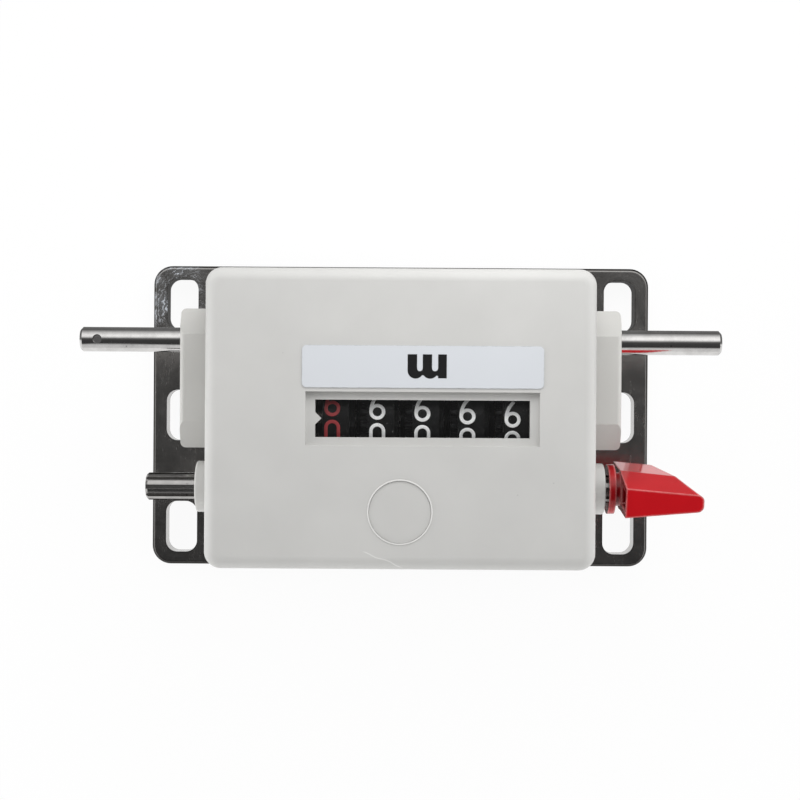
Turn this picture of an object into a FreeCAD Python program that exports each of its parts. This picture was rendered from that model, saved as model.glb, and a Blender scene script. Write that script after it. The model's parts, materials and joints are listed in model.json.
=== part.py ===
import FreeCAD, Part

import math
import os
import re

import Sketcher

# Mechanical length counter: five number wheels behind a window, a through drive shaft, a reset shaft
# with a wing key, and a slotted mounting plate. X runs along the shafts, Y across the front, Z out of
# the front. The origin is the middle of the plate's underside. Millimetres.

SIZES = [
    ("plate_ear", 13.8, "mounting plate beyond the housing, along X"),
    ("plate_lip", 3.25, "mounting plate beyond the housing, along Y"),
    ("plate_thick", 4.0, "mounting plate thickness"),
    ("plate_corner", 3.3, "corner radius of the plate"),
    ("plate_edge", 0.6, "rounded upper edge of the plate"),
    ("slot_width", 5.5, "fixing slot across"),
    ("slot_length", 9.0, "fixing slot end to end"),
    ("slot_corner", 2.0, "corner radius of a fixing slot"),
    ("slot_end_margin", 2.2, "end slots from the plate's long edges"),
    ("slot_side_margin", 2.45, "slots from the plate's short edges"),
    ("screw_radius", 1.2, "shank of the small screws"),
    ("screw_head_radius", 2.1, "head of the small screws"),
    ("screw_head", 1.1, "head height of the small screws"),
    ("screw_grip", 6.0, "depth that a screw reaches into what it holds"),
    ("press_gap", 0.02, "gap of a pressed or screwed joint, on the radius"),
    ("run_gap", 0.06, "gap of a running joint, on the radius"),
    ("part_gap", 0.15, "gap between moulded parts"),
    ("case_height", 38.5, "housing above the plate"),
    ("case_wall", 1.8, "side walls of the housing"),
    ("case_front", 2.0, "front wall of the housing"),
    ("case_corner", 2.6, "upright corner radius of the housing"),
    ("case_round", 2.0, "rounding of the front edges"),
    ("boss_radius", 2.2, "screw bosses inside the housing"),
    ("boss_column", 19.2, "screw bosses from the middle, along X"),
    ("window_centre", -3.4, "window centre along X"),
    ("recess_ledge", 1.45, "window recess beyond the opening, along X"),
    ("recess_step", 1.25, "window recess beyond the opening, along Y"),
    ("recess_depth", 1.0, "window recess below the front"),
    ("aperture_short", 1.9, "window opening shorter than the row of wheels"),
    ("aperture_width", 5.8, "window opening along Y"),
    ("pointer_half", 0.95, "half the base of the pointer"),
    ("pointer_reach", 0.95, "pointer tip inside the opening"),
    ("pane_thick", 1.0, "clear pane thickness"),
    ("pane_lap", 0.8, "pane beyond the opening on every side"),
    ("pane_gap", 0.3, "pane above the number wheels"),
    ("label_length", 37.1, "unit label along X"),
    ("label_width", 6.5, "unit label along Y"),
    ("label_thick", 0.15, "unit label thickness"),
    ("label_corner", 0.7, "corner radius of the unit label"),
    ("label_gap", 0.6, "unit label below the window recess"),
    ("badge_radius", 5.0, "round bare dish on the front"),
    ("badge_margin", 3.95, "round dish from the housing's edge"),
    ("badge_depth", 0.25, "round dish depth"),
    ("badge_rim", 0.25, "width of the groove round the dish"),
    ("drive_drop", 4.9, "drive shaft axis below the wheels' axis"),
    ("drive_module", 0.6713, "module of the drive gears"),
    ("drive_radius", 2.0, "drive shaft"),
    ("oil_width", 0.6, "oil groove of the drive shaft, at the mouth of each bush"),
    ("oil_depth", 0.3, "depth of an oil groove"),
    ("drive_stub", 16.6, "drive shaft beyond each side cover"),
    ("shaft_chamfer", 0.4, "chamfered shaft ends"),
    ("spot_inset", 2.9, "set-screw spot from the shaft end"),
    ("spot_radius", 0.75, "set-screw spot"),
    ("spot_depth", 0.5, "set-screw spot depth"),
    ("reset_drop", 4.9, "reset shaft axis below the wheels' axis"),
    ("reset_module", 0.62043, "module of the reset gears"),
    ("reset_radius", 2.23, "reset shaft over its teeth"),
    ("spline_teeth", 10, "teeth of the reset shaft"),
    ("spline_depth", 0.5, "groove depth of the reset shaft"),
    ("spline_groove", 0.72, "groove width of the reset shaft"),
    ("reset_stub", 8.2, "toothed free end of the reset shaft beyond its bush"),
    ("reset_grip", 4.8, "reset shaft inside the key"),
    ("wheel_radius", 7.5, "number wheel"),
    ("wheel_pitch", 7.0, "from wheel to wheel"),
    ("wheel_float", 0.2, "end float between wheels"),
    ("rim_near", 1.5, "rim from the digit centre towards +X"),
    ("rim_far", 2.6, "rim from the digit centre towards -X"),
    ("rim_bore", 4.9, "inner radius of the rim"),
    ("web_thick", 1.6, "web of a wheel"),
    ("hub_radius", 2.9, "hub of a wheel"),
    ("axle_radius", 1.5, "wheel axle"),
    ("axle_groove", 0.8, "pick-up groove along the wheel axle"),
    ("groove_depth", 0.5, "depth of the pick-up groove"),
    ("pickup_radius", 0.5, "reset pick-up pin in a wheel hub"),
    ("pickup_offset", 2.0, "pick-up pin from the digit centre"),
    ("pickup_spring", 0.35, "thickness of the pick-up spring"),
    ("ring_width", 1.1, "toothed ring of a wheel"),
    ("ring_teeth", 20, "teeth of a wheel's ring"),
    ("pinion_teeth", 8, "teeth of a transfer pinion"),
    ("ring_drop", 0.45, "tips of the toothed rings below the rims"),
    ("carry_addendum", 0.55, "carry teeth outside the pitch circle"),
    ("carry_dedendum", 0.75, "carry teeth inside the pitch circle"),
    ("carry_clearance", 0.2, "carry disc from the pinion"),
    ("lock_step", 0.4, "carry teeth above the locking disc"),
    ("carry_short", 0.15, "carry teeth below the carry radius"),
    ("carry_tooth", 0.8, "carry tooth across"),
    ("carry_space", 1.0, "between the two carry teeth"),
    ("tooth_play", 0.1, "each gear tooth is thinner by this at the pitch circle"),
    ("pinion_axle_radius", 1.0, "pinion axle"),
    ("spacer_radius", 1.35, "sleeves on the pinion axle"),
    ("axle_spacer_radius", 2.4, "sleeves on the wheel axle"),
    ("gear_teeth", 20, "teeth of the drive and reset gears"),
    ("gear_width", 2.2, "drive and reset gear face"),
    ("gear_hub_radius", 3.8, "drive gear hub"),
    ("gear_hub_length", 4.0, "drive gear hub"),
    ("axle_room", 4.2, "from the last wheel to the cheek beside it"),
    ("cheek_room", 1.8, "from a cheek to the housing's side wall"),
    ("gear_room", 1.633, "from the drive gear to the housing's long wall"),
    ("cheek_thick", 1.6, "frame cheek sheet"),
    ("cheek_head", 2.5, "top of a cheek below the front wall"),
    ("foot_length", 8.0, "foot of a cheek along X"),
    ("foot_screw_inset", 4.5, "foot screws from the cheek's inner face"),
    ("foot_screw_half", 7.0, "foot screws from the middle, along Y"),
    ("bend_radius", 1.2, "inner bend of a cheek"),
    ("tie_radius", 2.0, "tie bar"),
    ("tie_inset", 3.5, "tie bars from the cheeks' ends, along Y"),
    ("tie_drop", 13.8, "tie bars below the drive shaft axis"),
    ("bush_radius", 3.0, "drive bush outside"),
    ("cover_lap", 0.5, "side cover inside the housing's side wall"),
    ("cover_stand", 5.35, "side cover beyond the housing"),
    ("cover_below", 5.0, "side cover below the drive shaft axis, along Y"),
    ("cover_gap", 2.25, "side cover from the reset bush, along Y"),
    ("cover_above", 4.2, "side cover above the drive shaft axis"),
    ("cover_round", 0.8, "outer edges of a side cover"),
    ("cover_boss_radius", 2.0, "screw boss in a side cover"),
    ("cover_boss_inset", 2.6, "screw boss from the cover's ends, along Y"),
    ("bush_boss_radius", 4.0, "bush seat in a side cover"),
    ("collar_radius", 4.15, "reset bush outside the housing"),
    ("collar_spigot", 3.2, "reset bush in the cheek"),
    ("collar_stand", 2.9, "reset bush beyond the housing"),
    ("clip_thick", 0.6, "retaining ring"),
    ("clip_lap", 1.2, "retaining ring beyond its shaft"),
    ("clip_seat", 0.4, "groove under a retaining ring"),
    ("clip_gap", 0.1, "retaining ring from what it stops on"),
    ("axle_overhang", 1.1, "wheel axle beyond a cheek"),
    ("key_gap", 0.6, "key from the reset bush"),
    ("key_disc_radius", 4.05, "key disc"),
    ("key_disc", 1.1, "key disc thickness"),
    ("key_neck_radius", 3.3, "key neck"),
    ("wing_gap", 0.25, "wing from the side cover that it passes"),
    ("wing_long", 12.4, "long side of the wing"),
    ("wing_slant", 5.3, "short side of the wing shorter by this"),
    ("wing_half", 8.0, "half the wing's width"),
    ("wing_edge", 2.45, "half thickness at the wing's edges, at its root"),
    ("wing_crest", 3.15, "half thickness at the wing's crest, at its root"),
    ("wing_edge_tip", 1.35, "half thickness at the wing's edges, at its tip"),
    ("wing_crest_tip", 1.88, "half thickness at the wing's crest, at its tip"),
    ("wing_round", 1.0, "rounding of the wing's free end"),
    ("wing_tilt", 13.4, "lean of the wing at rest, degrees"),
]

# Places that follow from the sizes.
LAYOUT = [
    ("first_wheel", "window_centre + 2 * wheel_pitch"),
    ("last_wheel", "window_centre - 2 * wheel_pitch"),
    ("hub_half", "(wheel_pitch - wheel_float) / 2"),
    ("cheek_inner", "hub_half - last_wheel + axle_room"),
    ("cheek_outer", "cheek_inner + cheek_thick"),
    ("case_inner_x", "cheek_outer + cheek_room"),
    ("case_length", "2 * (case_inner_x + case_wall)"),
    ("plate_length", "case_length + 2 * plate_ear"),
    ("slot_column", "plate_length / 2 - slot_side_margin - slot_width / 2"),
    ("cover_inner", "case_inner_x - cover_lap"),
    ("cover_outer", "case_length / 2 + cover_stand"),
    ("drive_length", "2 * (cover_outer + drive_stub)"),
    ("collar_end", "case_length / 2 + collar_stand"),
    ("reset_free_end", "collar_end + reset_stub"),
    ("key_start", "collar_end + key_gap"),
    ("reset_key_end", "key_start + reset_grip"),
    ("wing_start", "cover_outer + wing_gap"),
    ("wing_tip", "wing_start + wing_long"),
    ("wing_short", "wing_tip - wing_slant"),
    ("gear_start", "first_wheel + hub_half"),
    ("gear_end", "gear_start + gear_width + 2 * part_gap"),
    ("reset_gear_start", "clip_thick - cheek_inner"),
    ("drive_centres", "drive_module * gear_teeth"),
    ("reset_centres", "reset_module * gear_teeth"),
    ("drive_y", "-sqrt(pow(drive_centres; 2) - pow(drive_drop; 2))"),
    ("reset_y", "sqrt(pow(reset_centres; 2) - pow(reset_drop; 2))"),
    ("drive_tip", "drive_centres / 2 + 0.9 * drive_module"),
    ("case_inner_y", "drive_tip - drive_y + gear_room"),
    ("case_width", "2 * (case_inner_y + case_wall)"),
    ("plate_width", "case_width + 2 * plate_lip"),
    ("slot_pitch", "plate_width / 2 - slot_end_margin - slot_length / 2"),
    ("boss_y", "case_inner_y - boss_radius + press_gap"),
    ("cheek_half", "boss_y - boss_radius - part_gap"),
    ("tie_half", "cheek_half - tie_inset"),
    ("cover_low", "drive_y - cover_below"),
    ("cover_high", "reset_y - collar_radius - cover_gap"),
    ("aperture_length", "5 * wheel_pitch - aperture_short"),
    ("recess_length", "aperture_length + 2 * recess_ledge"),
    ("recess_width", "aperture_width + 2 * recess_step"),
    ("label_centre", "-recess_width / 2 - label_gap - label_width / 2"),
    ("badge_centre", "case_width / 2 - badge_margin - badge_radius"),
    ("case_z", "plate_thick + case_height"),
    ("pane_top", "case_z - case_front"),
    ("drum_z", "pane_top - pane_thick - pane_gap - wheel_radius"),
    ("drive_z", "drum_z - drive_drop"),
    ("reset_z", "drum_z - reset_drop"),
    ("cheek_top", "pane_top - cheek_head"),
    ("tie_z", "drive_z - tie_drop"),
    ("cover_top", "drive_z + cover_above"),
    ("cover_boss_z", "plate_thick + cheek_thick + bend_radius + screw_head_radius + part_gap"),
    ("ring_pitch", "wheel_radius - ring_drop - carry_addendum"),
    ("pinion_pitch", "ring_pitch * pinion_teeth / ring_teeth"),
    ("carry_radius", "ring_pitch - carry_addendum - carry_clearance"),
    ("lock_radius", "carry_radius - lock_step"),
    ("pinion_z", "drum_z - ring_pitch - pinion_pitch"),
]

WHEELS = ["tenths", "units", "tens", "hundreds", "thousands"]
SIDES = [("right", 1), ("left", -1)]
INSIDE = "(cheek_inner - clip_gap - clip_thick)"
OUTSIDE = "(cheek_outer + clip_gap)"
PRESSURE_ANGLE = math.radians(20)
TOUCH = 1e-3

SIZE_NAMES = {name for name, value, words in SIZES}
LAYOUT_NAMES = {name for name, text in LAYOUT}

doc = FreeCAD.newDocument("length_counter")


def formula(text):
    """Points each plain size name in a formula at its cell, and each place at the layout."""

    def point(word):
        name = word.group()
        if name in SIZE_NAMES:
            return "sizes." + name
        if name in LAYOUT_NAMES:
            return "layout." + name
        return name

    return re.sub(r"[a-z_]+", point, str(text))


def make_sizes():
    """The sheet of driving dimensions, and the places worked out from it."""
    sheet = doc.addObject("Spreadsheet::Sheet", "sizes")
    for row, (name, value, words) in enumerate(SIZES, start=1):
        sheet.set(f"A{row}", name)
        sheet.set(f"B{row}", str(value))
        sheet.setAlias(f"B{row}", name)
        sheet.set(f"C{row}", words)
    doc.recompute()
    places = doc.addObject("App::VarSet", "layout")
    for name, text in LAYOUT:
        places.addProperty("App::PropertyFloat", name, "Places")
        places.setExpression(name, formula(text))
    doc.recompute()
    return sheet, places


sizes, layout = make_sizes()


def bind(item, prop, text):
    item.setExpression(prop, formula(text))


def origin_plane(body, role):
    return next(plane for plane in body.Origin.OriginFeatures if plane.Role == role)


def new_sketch(body, role, offset):
    """An empty sketch on one of the body's own planes, moved along that plane's normal."""
    sketch = body.newObject("Sketcher::SketchObject", "outline")
    sketch.AttachmentSupport = [(origin_plane(body, role), "")]
    sketch.MapMode = "FlatFace"
    bind(sketch, "AttachmentOffset.Base.z", offset)
    return sketch


def pin_point(sketch, edge, corner, across, up):
    """Fixes one point of an edge at two formulas."""
    index = sketch.addConstraint(Sketcher.Constraint("DistanceX", -1, 1, edge, corner, 1.0))
    bind(sketch, f"Constraints[{index}]", across)
    index = sketch.addConstraint(Sketcher.Constraint("DistanceY", -1, 1, edge, corner, 1.0))
    bind(sketch, f"Constraints[{index}]", up)


def add_polygon(sketch, points):
    """A closed outline with each corner fixed by formulas."""
    first = sketch.GeometryCount
    count = len(points)
    start = [
        FreeCAD.Vector(math.cos(2 * math.pi * k / count), math.sin(2 * math.pi * k / count), 0)
        for k in range(count)
    ]
    for k in range(count):
        sketch.addGeometry(Part.LineSegment(start[k], start[(k + 1) % count]))
    for k in range(count):
        sketch.addConstraint(Sketcher.Constraint("Coincident", first + k, 2, first + (k + 1) % count, 1))
    for k, (across, up) in enumerate(points):
        pin_point(sketch, first + k, 1, across, up)


def polygon(body, role, offset, points):
    sketch = new_sketch(body, role, offset)
    add_polygon(sketch, points)
    return sketch


def rectangle_corners(across, up):
    """The corners between two formulas across and two formulas up."""
    return [(across[0], up[0]), (across[1], up[0]), (across[1], up[1]), (across[0], up[1])]


def circles(body, role, offset, centres, radius):
    """Equal circles in one sketch."""
    sketch = new_sketch(body, role, offset)
    for order, (across, up) in enumerate(centres):
        sketch.addGeometry(Part.Circle(FreeCAD.Vector(order, 0, 0), FreeCAD.Vector(0, 0, 1), 1.0))
        pin_point(sketch, order, 3, across, up)
        index = sketch.addConstraint(Sketcher.Constraint("Radius", order, 1.0))
        bind(sketch, f"Constraints[{index}]", radius)
    return sketch


def pad(body, sketch, length, forward=True, both=False):
    """Adds material along the sketch's normal, against it, or half each way."""
    feature = body.newObject("PartDesign::Pad", "pad")
    feature.Profile = sketch
    bind(feature, "Length", length)
    feature.Reversed = not forward
    feature.Midplane = both
    doc.recompute()
    return feature


def pocket(body, sketch, length, forward=True, both=False):
    """Cuts along the sketch's normal, against it, or half each way, and checks that it cut."""
    before = body.Shape.Volume
    feature = body.newObject("PartDesign::Pocket", "pocket")
    feature.Profile = sketch
    bind(feature, "Length", length)
    feature.Reversed = forward
    feature.Midplane = both
    doc.recompute()
    if body.Shape.Volume >= before:
        raise RuntimeError(f"a pocket in {body.Label} cuts nothing")
    return feature


def block(body, across, deep, high):
    """A straight block between two formulas on each axis."""
    sketch = polygon(body, "XY_Plane", high[0], rectangle_corners(across, deep))
    return pad(body, sketch, f"({high[1]}) - ({high[0]})")


def cut_block(body, across, deep, high):
    sketch = polygon(body, "XY_Plane", high[0], rectangle_corners(across, deep))
    return pocket(body, sketch, f"({high[1]}) - ({high[0]})")


def rod(body, centre, radius, span, side=1):
    """A round bar along X. span runs outwards from the middle on the given side."""
    sketch = circles(body, "YZ_Plane", f"{side} * ({span[0]})", [centre], radius)
    return pad(body, sketch, f"({span[1]}) - ({span[0]})", forward=side > 0)


def bores(body, centres, radius, span, side=1):
    """Equal round holes along X, over the same kind of span as a rod."""
    sketch = circles(body, "YZ_Plane", f"{side} * ({span[0]})", centres, radius)
    return pocket(body, sketch, f"({span[1]}) - ({span[0]})", forward=side > 0)


def bore(body, centre, radius, span, side=1):
    return bores(body, [centre], radius, span, side)


def posts(body, centres, radius, high):
    """Equal round posts along Z."""
    sketch = circles(body, "XY_Plane", high[0], centres, radius)
    return pad(body, sketch, f"({high[1]}) - ({high[0]})")


def drill(body, centres, radius, high):
    """Equal round holes along Z."""
    sketch = circles(body, "XY_Plane", high[0], centres, radius)
    return pocket(body, sketch, f"({high[1]}) - ({high[0]})")


def turned(body, points, cut=False):
    """A profile of distances along X and radii, turned about the X axis."""
    kind = "PartDesign::Groove" if cut else "PartDesign::Revolution"
    before = body.Shape.Volume if cut else 0.0
    feature = body.newObject(kind, "turning")
    feature.Profile = polygon(body, "XY_Plane", "0", points)
    feature.ReferenceAxis = (next(a for a in body.Origin.OriginFeatures if a.Role == "X_Axis"), [""])
    feature.Angle = 360
    doc.recompute()
    if cut and body.Shape.Volume >= before:
        raise RuntimeError(f"a groove in {body.Label} cuts nothing")
    return feature


def new_body(label):
    return doc.addObject("PartDesign::Body", label)


def round_edges(body, wanted, radius, kind="PartDesign::Fillet"):
    """Rounds or chamfers the edges of the body's last feature that wanted() picks."""
    tip = body.Tip
    names = [f"Edge{k}" for k, edge in enumerate(tip.Shape.Edges, start=1) if wanted(edge)]
    if not names:
        raise RuntimeError(f"no edges to round on {body.Label}")
    feature = body.newObject(kind, "rounding")
    feature.Base = (tip, names)
    bind(feature, "Radius" if kind.endswith("Fillet") else "Size", radius)
    doc.recompute()
    return feature


def along(edge, axis):
    """True for a straight edge that lies along one axis."""
    if edge.Curve.TypeId != "Part::GeomLine":
        return False
    return abs(getattr(edge.Curve.Direction, axis)) > 0.999


def place(item, x="0", y="0", z="0"):
    for name, text in (("x", x), ("y", y), ("z", z)):
        bind(item, f"Placement.Base.{name}", text)


def size(name):
    """A driving dimension or a place, as a number."""
    return sizes.get(name) if name in SIZE_NAMES else getattr(layout, name)


# Gears

def polar(radius, angle):
    """A point in the plane across X."""
    return FreeCAD.Vector(0, radius * math.cos(angle), radius * math.sin(angle))


def half_tooth(teeth, pitch, radius):
    """Half the angle that an involute tooth takes at a radius."""
    base = pitch * math.cos(PRESSURE_ANGLE)
    pressure = math.acos(min(1.0, base / radius))
    flank = math.tan(PRESSURE_ANGLE) - PRESSURE_ANGLE - math.tan(pressure) + pressure
    return math.pi / (2 * teeth) - size("tooth_play") / (2 * pitch) + flank


def tooth_edges(middle, teeth, pitch, tip, root):
    """Root line, flank, tip arc, flank and root line of one tooth, in order."""
    start = max(root, pitch * math.cos(PRESSURE_ANGLE))
    waist = (start + tip) / 2

    def spot(radius, hand):
        return polar(radius, middle + hand * half_tooth(teeth, pitch, radius))

    foot = half_tooth(teeth, pitch, start)
    edges = []
    if start > root + 1e-6:
        edges.append(Part.LineSegment(polar(root, middle - foot), spot(start, -1)).toShape())
    edges.append(Part.Arc(spot(start, -1), spot(waist, -1), spot(tip, -1)).toShape())
    edges.append(Part.Arc(spot(tip, -1), polar(tip, middle), spot(tip, 1)).toShape())
    edges.append(Part.Arc(spot(tip, 1), spot(waist, 1), spot(start, 1)).toShape())
    if start > root + 1e-6:
        edges.append(Part.LineSegment(spot(start, 1), polar(root, middle + foot)).toShape())
    return edges


def toothed_disc(teeth, pitch, tip, root, width, middle, places=None):
    """A toothed disc from X = 0, with one tooth centred at the angle middle.

    places picks which teeth are there, so a disc can carry only some of them.
    """
    places = range(teeth) if places is None else places
    step = 2 * math.pi / teeth
    foot = half_tooth(teeth, pitch, max(root, pitch * math.cos(PRESSURE_ANGLE)))
    edges = []
    for order, tooth in enumerate(places):
        following = places[(order + 1) % len(places)]
        angle = middle + tooth * step
        gap = ((following - tooth - 1) % teeth + 1) * step
        edges += tooth_edges(angle, teeth, pitch, tip, root)
        start = angle + foot
        end = angle + gap - foot
        edges.append(Part.Arc(polar(root, start), polar(root, (start + end) / 2), polar(root, end)).toShape())
    return Part.Face(Part.Wire(Part.__sortEdges__(edges))).extrude(FreeCAD.Vector(width, 0, 0))


def disc(radius, width, start=0.0):
    """A plain round solid along X."""
    return Part.makeCylinder(radius, width, FreeCAD.Vector(start, 0, 0), FreeCAD.Vector(1, 0, 0))


def shape_feature(label, shape, x=0.0, y=0.0, z=0.0):
    """A piece whose outline comes from a curve formula, put in its place."""
    feature = doc.addObject("Part::Feature", label)
    feature.Shape = shape
    feature.Placement = FreeCAD.Placement(FreeCAD.Vector(x, y, z), FreeCAD.Rotation())
    return feature


def spur_gear(centres, width, middle):
    """One of two equal gears that share the distance between their axes."""
    teeth = int(size("gear_teeth"))
    pitch = centres / 2
    module = centres / teeth
    return toothed_disc(teeth, pitch, pitch + 0.9 * module, pitch - 1.2 * module, width, middle)


# Plate and screws

def screw_places():
    """Screws that come up through the plate: four into the housing, four into the cheeks' feet."""
    case = [(f"{sx} * boss_column", f"{sy} * boss_y") for sx in (1, -1) for sy in (1, -1)]
    foot_x = "(cheek_inner - foot_screw_inset)"
    feet = [(f"{sx} * {foot_x}", f"{sy} * foot_screw_half") for sx in (1, -1) for sy in (1, -1)]
    return case, feet


def mounting_plate():
    body = new_body("mounting_plate")
    block(body, ("-plate_length / 2", "plate_length / 2"), ("-plate_width / 2", "plate_width / 2"),
          ("0", "plate_thick"))
    round_edges(body, lambda edge: along(edge, "z"), "plate_corner")
    top = size("plate_thick")
    round_edges(body, lambda edge: edge.BoundBox.ZMin > top - TOUCH, "plate_edge")
    slots = new_sketch(body, "XY_Plane", "0")
    for side in (1, -1):
        for row in (-1, 0, 1):
            across = (f"{side} * slot_column - slot_width / 2", f"{side} * slot_column + slot_width / 2")
            up = (f"{row} * slot_pitch - slot_length / 2", f"{row} * slot_pitch + slot_length / 2")
            add_polygon(slots, rectangle_corners(across, up))
    pocket(body, slots, "plate_thick")
    column, half = size("slot_column"), size("slot_width") / 2

    def slot_corner(edge):
        from_column = abs(abs(edge.BoundBox.Center.x) - column)
        return along(edge, "z") and abs(from_column - half) < TOUCH

    round_edges(body, slot_corner, "slot_corner")
    case, feet = screw_places()
    drill(body, case + feet, "screw_radius + part_gap", ("0", "plate_thick"))
    drill(body, case + feet, "screw_head_radius + part_gap", ("0", "screw_head + part_gap"))
    return body


def screw_up(body, centre, start, end):
    """One screw that points up, with its head below start."""
    posts(body, [centre], "screw_head_radius", (f"({start}) - screw_head", start))
    posts(body, [centre], "screw_radius", (f"({start}) - screw_head", end))


def group(label, pieces):
    """Separate solids that share one node."""
    joined = doc.addObject("Part::Compound", label)
    joined.Links = pieces
    doc.recompute()
    return joined


def plate_screws():
    """The housing's four screws and the four screws of the cheeks' feet."""
    case, feet = screw_places()
    seat = "screw_head + part_gap"
    made = []
    ends = [("housing_screws", case, "plate_thick + screw_grip"),
            ("foot_screws", feet, "plate_thick + cheek_thick")]
    for label, centres, end in ends:
        pieces = []
        for centre in centres:
            body = new_body(label + "_piece")
            screw_up(body, centre, seat, end)
            pieces.append(body)
        made.append(group(label, pieces))
    return made


# Housing, window and label

def housing():
    body = new_body("housing")
    half_x, half_y = "case_length / 2", "case_width / 2"
    block(body, (f"-{half_x}", half_x), (f"-{half_y}", half_y), ("plate_thick", "case_z"))
    round_edges(body, lambda edge: along(edge, "z"), "case_corner")
    top = size("case_z")
    round_edges(body, lambda edge: edge.BoundBox.ZMin > top - TOUCH, "case_round")
    cut_block(body, ("-case_inner_x", "case_inner_x"), ("-case_inner_y", "case_inner_y"),
              ("plate_thick", "pane_top"))
    inner_x, inner_y = size("case_inner_x"), size("case_inner_y")

    def inner_corner(edge):
        point = edge.BoundBox.Center
        return along(edge, "z") and abs(abs(point.x) - inner_x) < TOUCH and abs(abs(point.y) - inner_y) < TOUCH

    round_edges(body, inner_corner, "case_corner - case_wall")
    centres = screw_places()[0]
    posts(body, centres, "boss_radius", ("plate_thick", "pane_top + case_front / 2"))
    drill(body, centres, "screw_radius + press_gap", ("plate_thick", "plate_thick + screw_grip + part_gap"))
    window_cuts(body)
    side_cuts(body)
    return body


def window_cuts(body):
    """The recess, the opening with its pointer, and the bare round dish."""
    low_x, high_x = "window_centre - recess_length / 2", "window_centre + recess_length / 2"
    cut_block(body, (low_x, high_x), ("-recess_width / 2", "recess_width / 2"),
              ("case_z - recess_depth", "case_z"))
    left, right = "window_centre - aperture_length / 2", "window_centre + aperture_length / 2"
    low, high = "-aperture_width / 2", "aperture_width / 2"
    points = [(left, low), (right, low), (right, "-pointer_half"), (f"{right} - pointer_reach", "0"),
              (right, "pointer_half"), (right, high), (left, high)]
    opening = polygon(body, "XY_Plane", "pane_top", points)
    pocket(body, opening, "case_front - recess_depth")
    dish = [("0", "badge_centre")]
    drill(body, dish, "badge_radius", ("case_z - badge_depth", "case_z"))
    posts(body, dish, "badge_radius - badge_rim", ("case_z - badge_depth", "case_z - badge_depth / 3"))


def side_cuts(body):
    """Notches that let the side covers through, and holes for the reset bushes."""
    wall = ("case_inner_x - 1", "case_length / 2")
    for side in (1, -1):
        cut_block(body, (f"{side} * ({wall[0]})", f"{side} * ({wall[1]})"),
                  ("cover_low - part_gap", "cover_high + part_gap"), ("plate_thick", "cover_top + part_gap"))
        bore(body, ("reset_y", "reset_z"), "collar_radius + part_gap", wall, side)


def window_pane():
    body = new_body("window_pane")
    half_x = "(aperture_length / 2 + pane_lap)"
    half_y = "(aperture_width / 2 + pane_lap)"
    block(body, (f"window_centre - {half_x}", f"window_centre + {half_x}"), (f"-{half_y}", half_y),
          ("pane_top - pane_thick", "pane_top"))
    return body


def unit_label():
    body = new_body("unit_label")
    block(body, ("window_centre - label_length / 2", "window_centre + label_length / 2"),
          ("label_centre - label_width / 2", "label_centre + label_width / 2"),
          ("case_z", "case_z + label_thick"))
    round_edges(body, lambda edge: along(edge, "z"), "label_corner")
    return body


# Frame

def frame_cheek(name, side):
    """A bent sheet cheek with its foot on the plate and holes for everything that it carries."""
    body = new_body(f"frame_cheek_{name}")
    inner, outer = f"{side} * cheek_inner", f"{side} * cheek_outer"
    toe = f"{side} * (cheek_inner - foot_length)"
    foot_top = "plate_thick + cheek_thick"
    points = [(toe, "plate_thick"), (outer, "plate_thick"), (outer, "cheek_top"), (inner, "cheek_top"),
              (inner, foot_top), (toe, foot_top)]
    pad(body, polygon(body, "XZ_Plane", "0", points), "2 * cheek_half", both=True)
    face, foot = size("cheek_inner"), size("plate_thick") + size("cheek_thick")
    bottom = size("plate_thick")
    back = size("cheek_outer")

    def inner_bend(edge):
        point = edge.BoundBox.Center
        return along(edge, "y") and abs(abs(point.x) - face) < TOUCH and abs(point.z - foot) < TOUCH

    def outer_bend(edge):
        point = edge.BoundBox.Center
        return along(edge, "y") and abs(abs(point.x) - back) < TOUCH and abs(point.z - bottom) < TOUCH

    round_edges(body, inner_bend, "bend_radius")
    round_edges(body, outer_bend, "bend_radius + cheek_thick / 2")
    round_edges(body, lambda edge: along(edge, "x") and edge.BoundBox.ZMin > foot + 1, "bend_radius")
    span = ("cheek_inner", "cheek_outer")
    bore(body, ("drive_y", "drive_z"), "bush_radius + press_gap", span, side)
    bore(body, ("reset_y", "reset_z"), "collar_spigot + press_gap", span, side)
    bore(body, ("0", "drum_z"), "axle_radius + run_gap", span, side)
    bore(body, ("0", "pinion_z"), "pinion_axle_radius + press_gap", span, side)
    screws = [(f"{hand} * tie_half", "tie_z") for hand in (1, -1)]
    screws += [(y, "cover_boss_z") for y in cover_boss_places()]
    bores(body, screws, "screw_radius + press_gap", span, side)
    foot_x = f"{side} * (cheek_inner - foot_screw_inset)"
    feet = [(foot_x, f"{hand} * foot_screw_half") for hand in (1, -1)]
    drill(body, feet, "screw_radius + press_gap", ("plate_thick", foot_top))
    return body


def cover_boss_places():
    return "(cover_low + cover_boss_inset)", "(cover_high - cover_boss_inset)"


def tie_bars():
    """Two round bars that hold the cheeks apart, tapped at both ends."""
    bars = []
    for hand in (1, -1):
        body = new_body("tie_bar_piece")
        centre = (f"{hand} * tie_half", "tie_z")
        rod(body, centre, "tie_radius", ("-cheek_inner", "cheek_inner"))
        for side in (1, -1):
            tap = ("cheek_inner - screw_grip - 1", "cheek_inner")
            bore(body, centre, "screw_radius + press_gap", tap, side)
        bars.append(body)
    return group("tie_bars", bars)


def screw_in(label, centre, seat, side, inward):
    """One screw along X. Its head stands on the seat, and it points in or out."""
    body = new_body(label)
    if inward:
        rod(body, centre, "screw_head_radius", (seat, f"{seat} + screw_head"), side)
        rod(body, centre, "screw_radius", (f"{seat} - cheek_thick - screw_grip", seat), side)
    else:
        rod(body, centre, "screw_head_radius", (f"{seat} - screw_head", seat), side)
        rod(body, centre, "screw_radius", (seat, f"{seat} + cheek_thick + screw_grip"), side)
    return body


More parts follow.
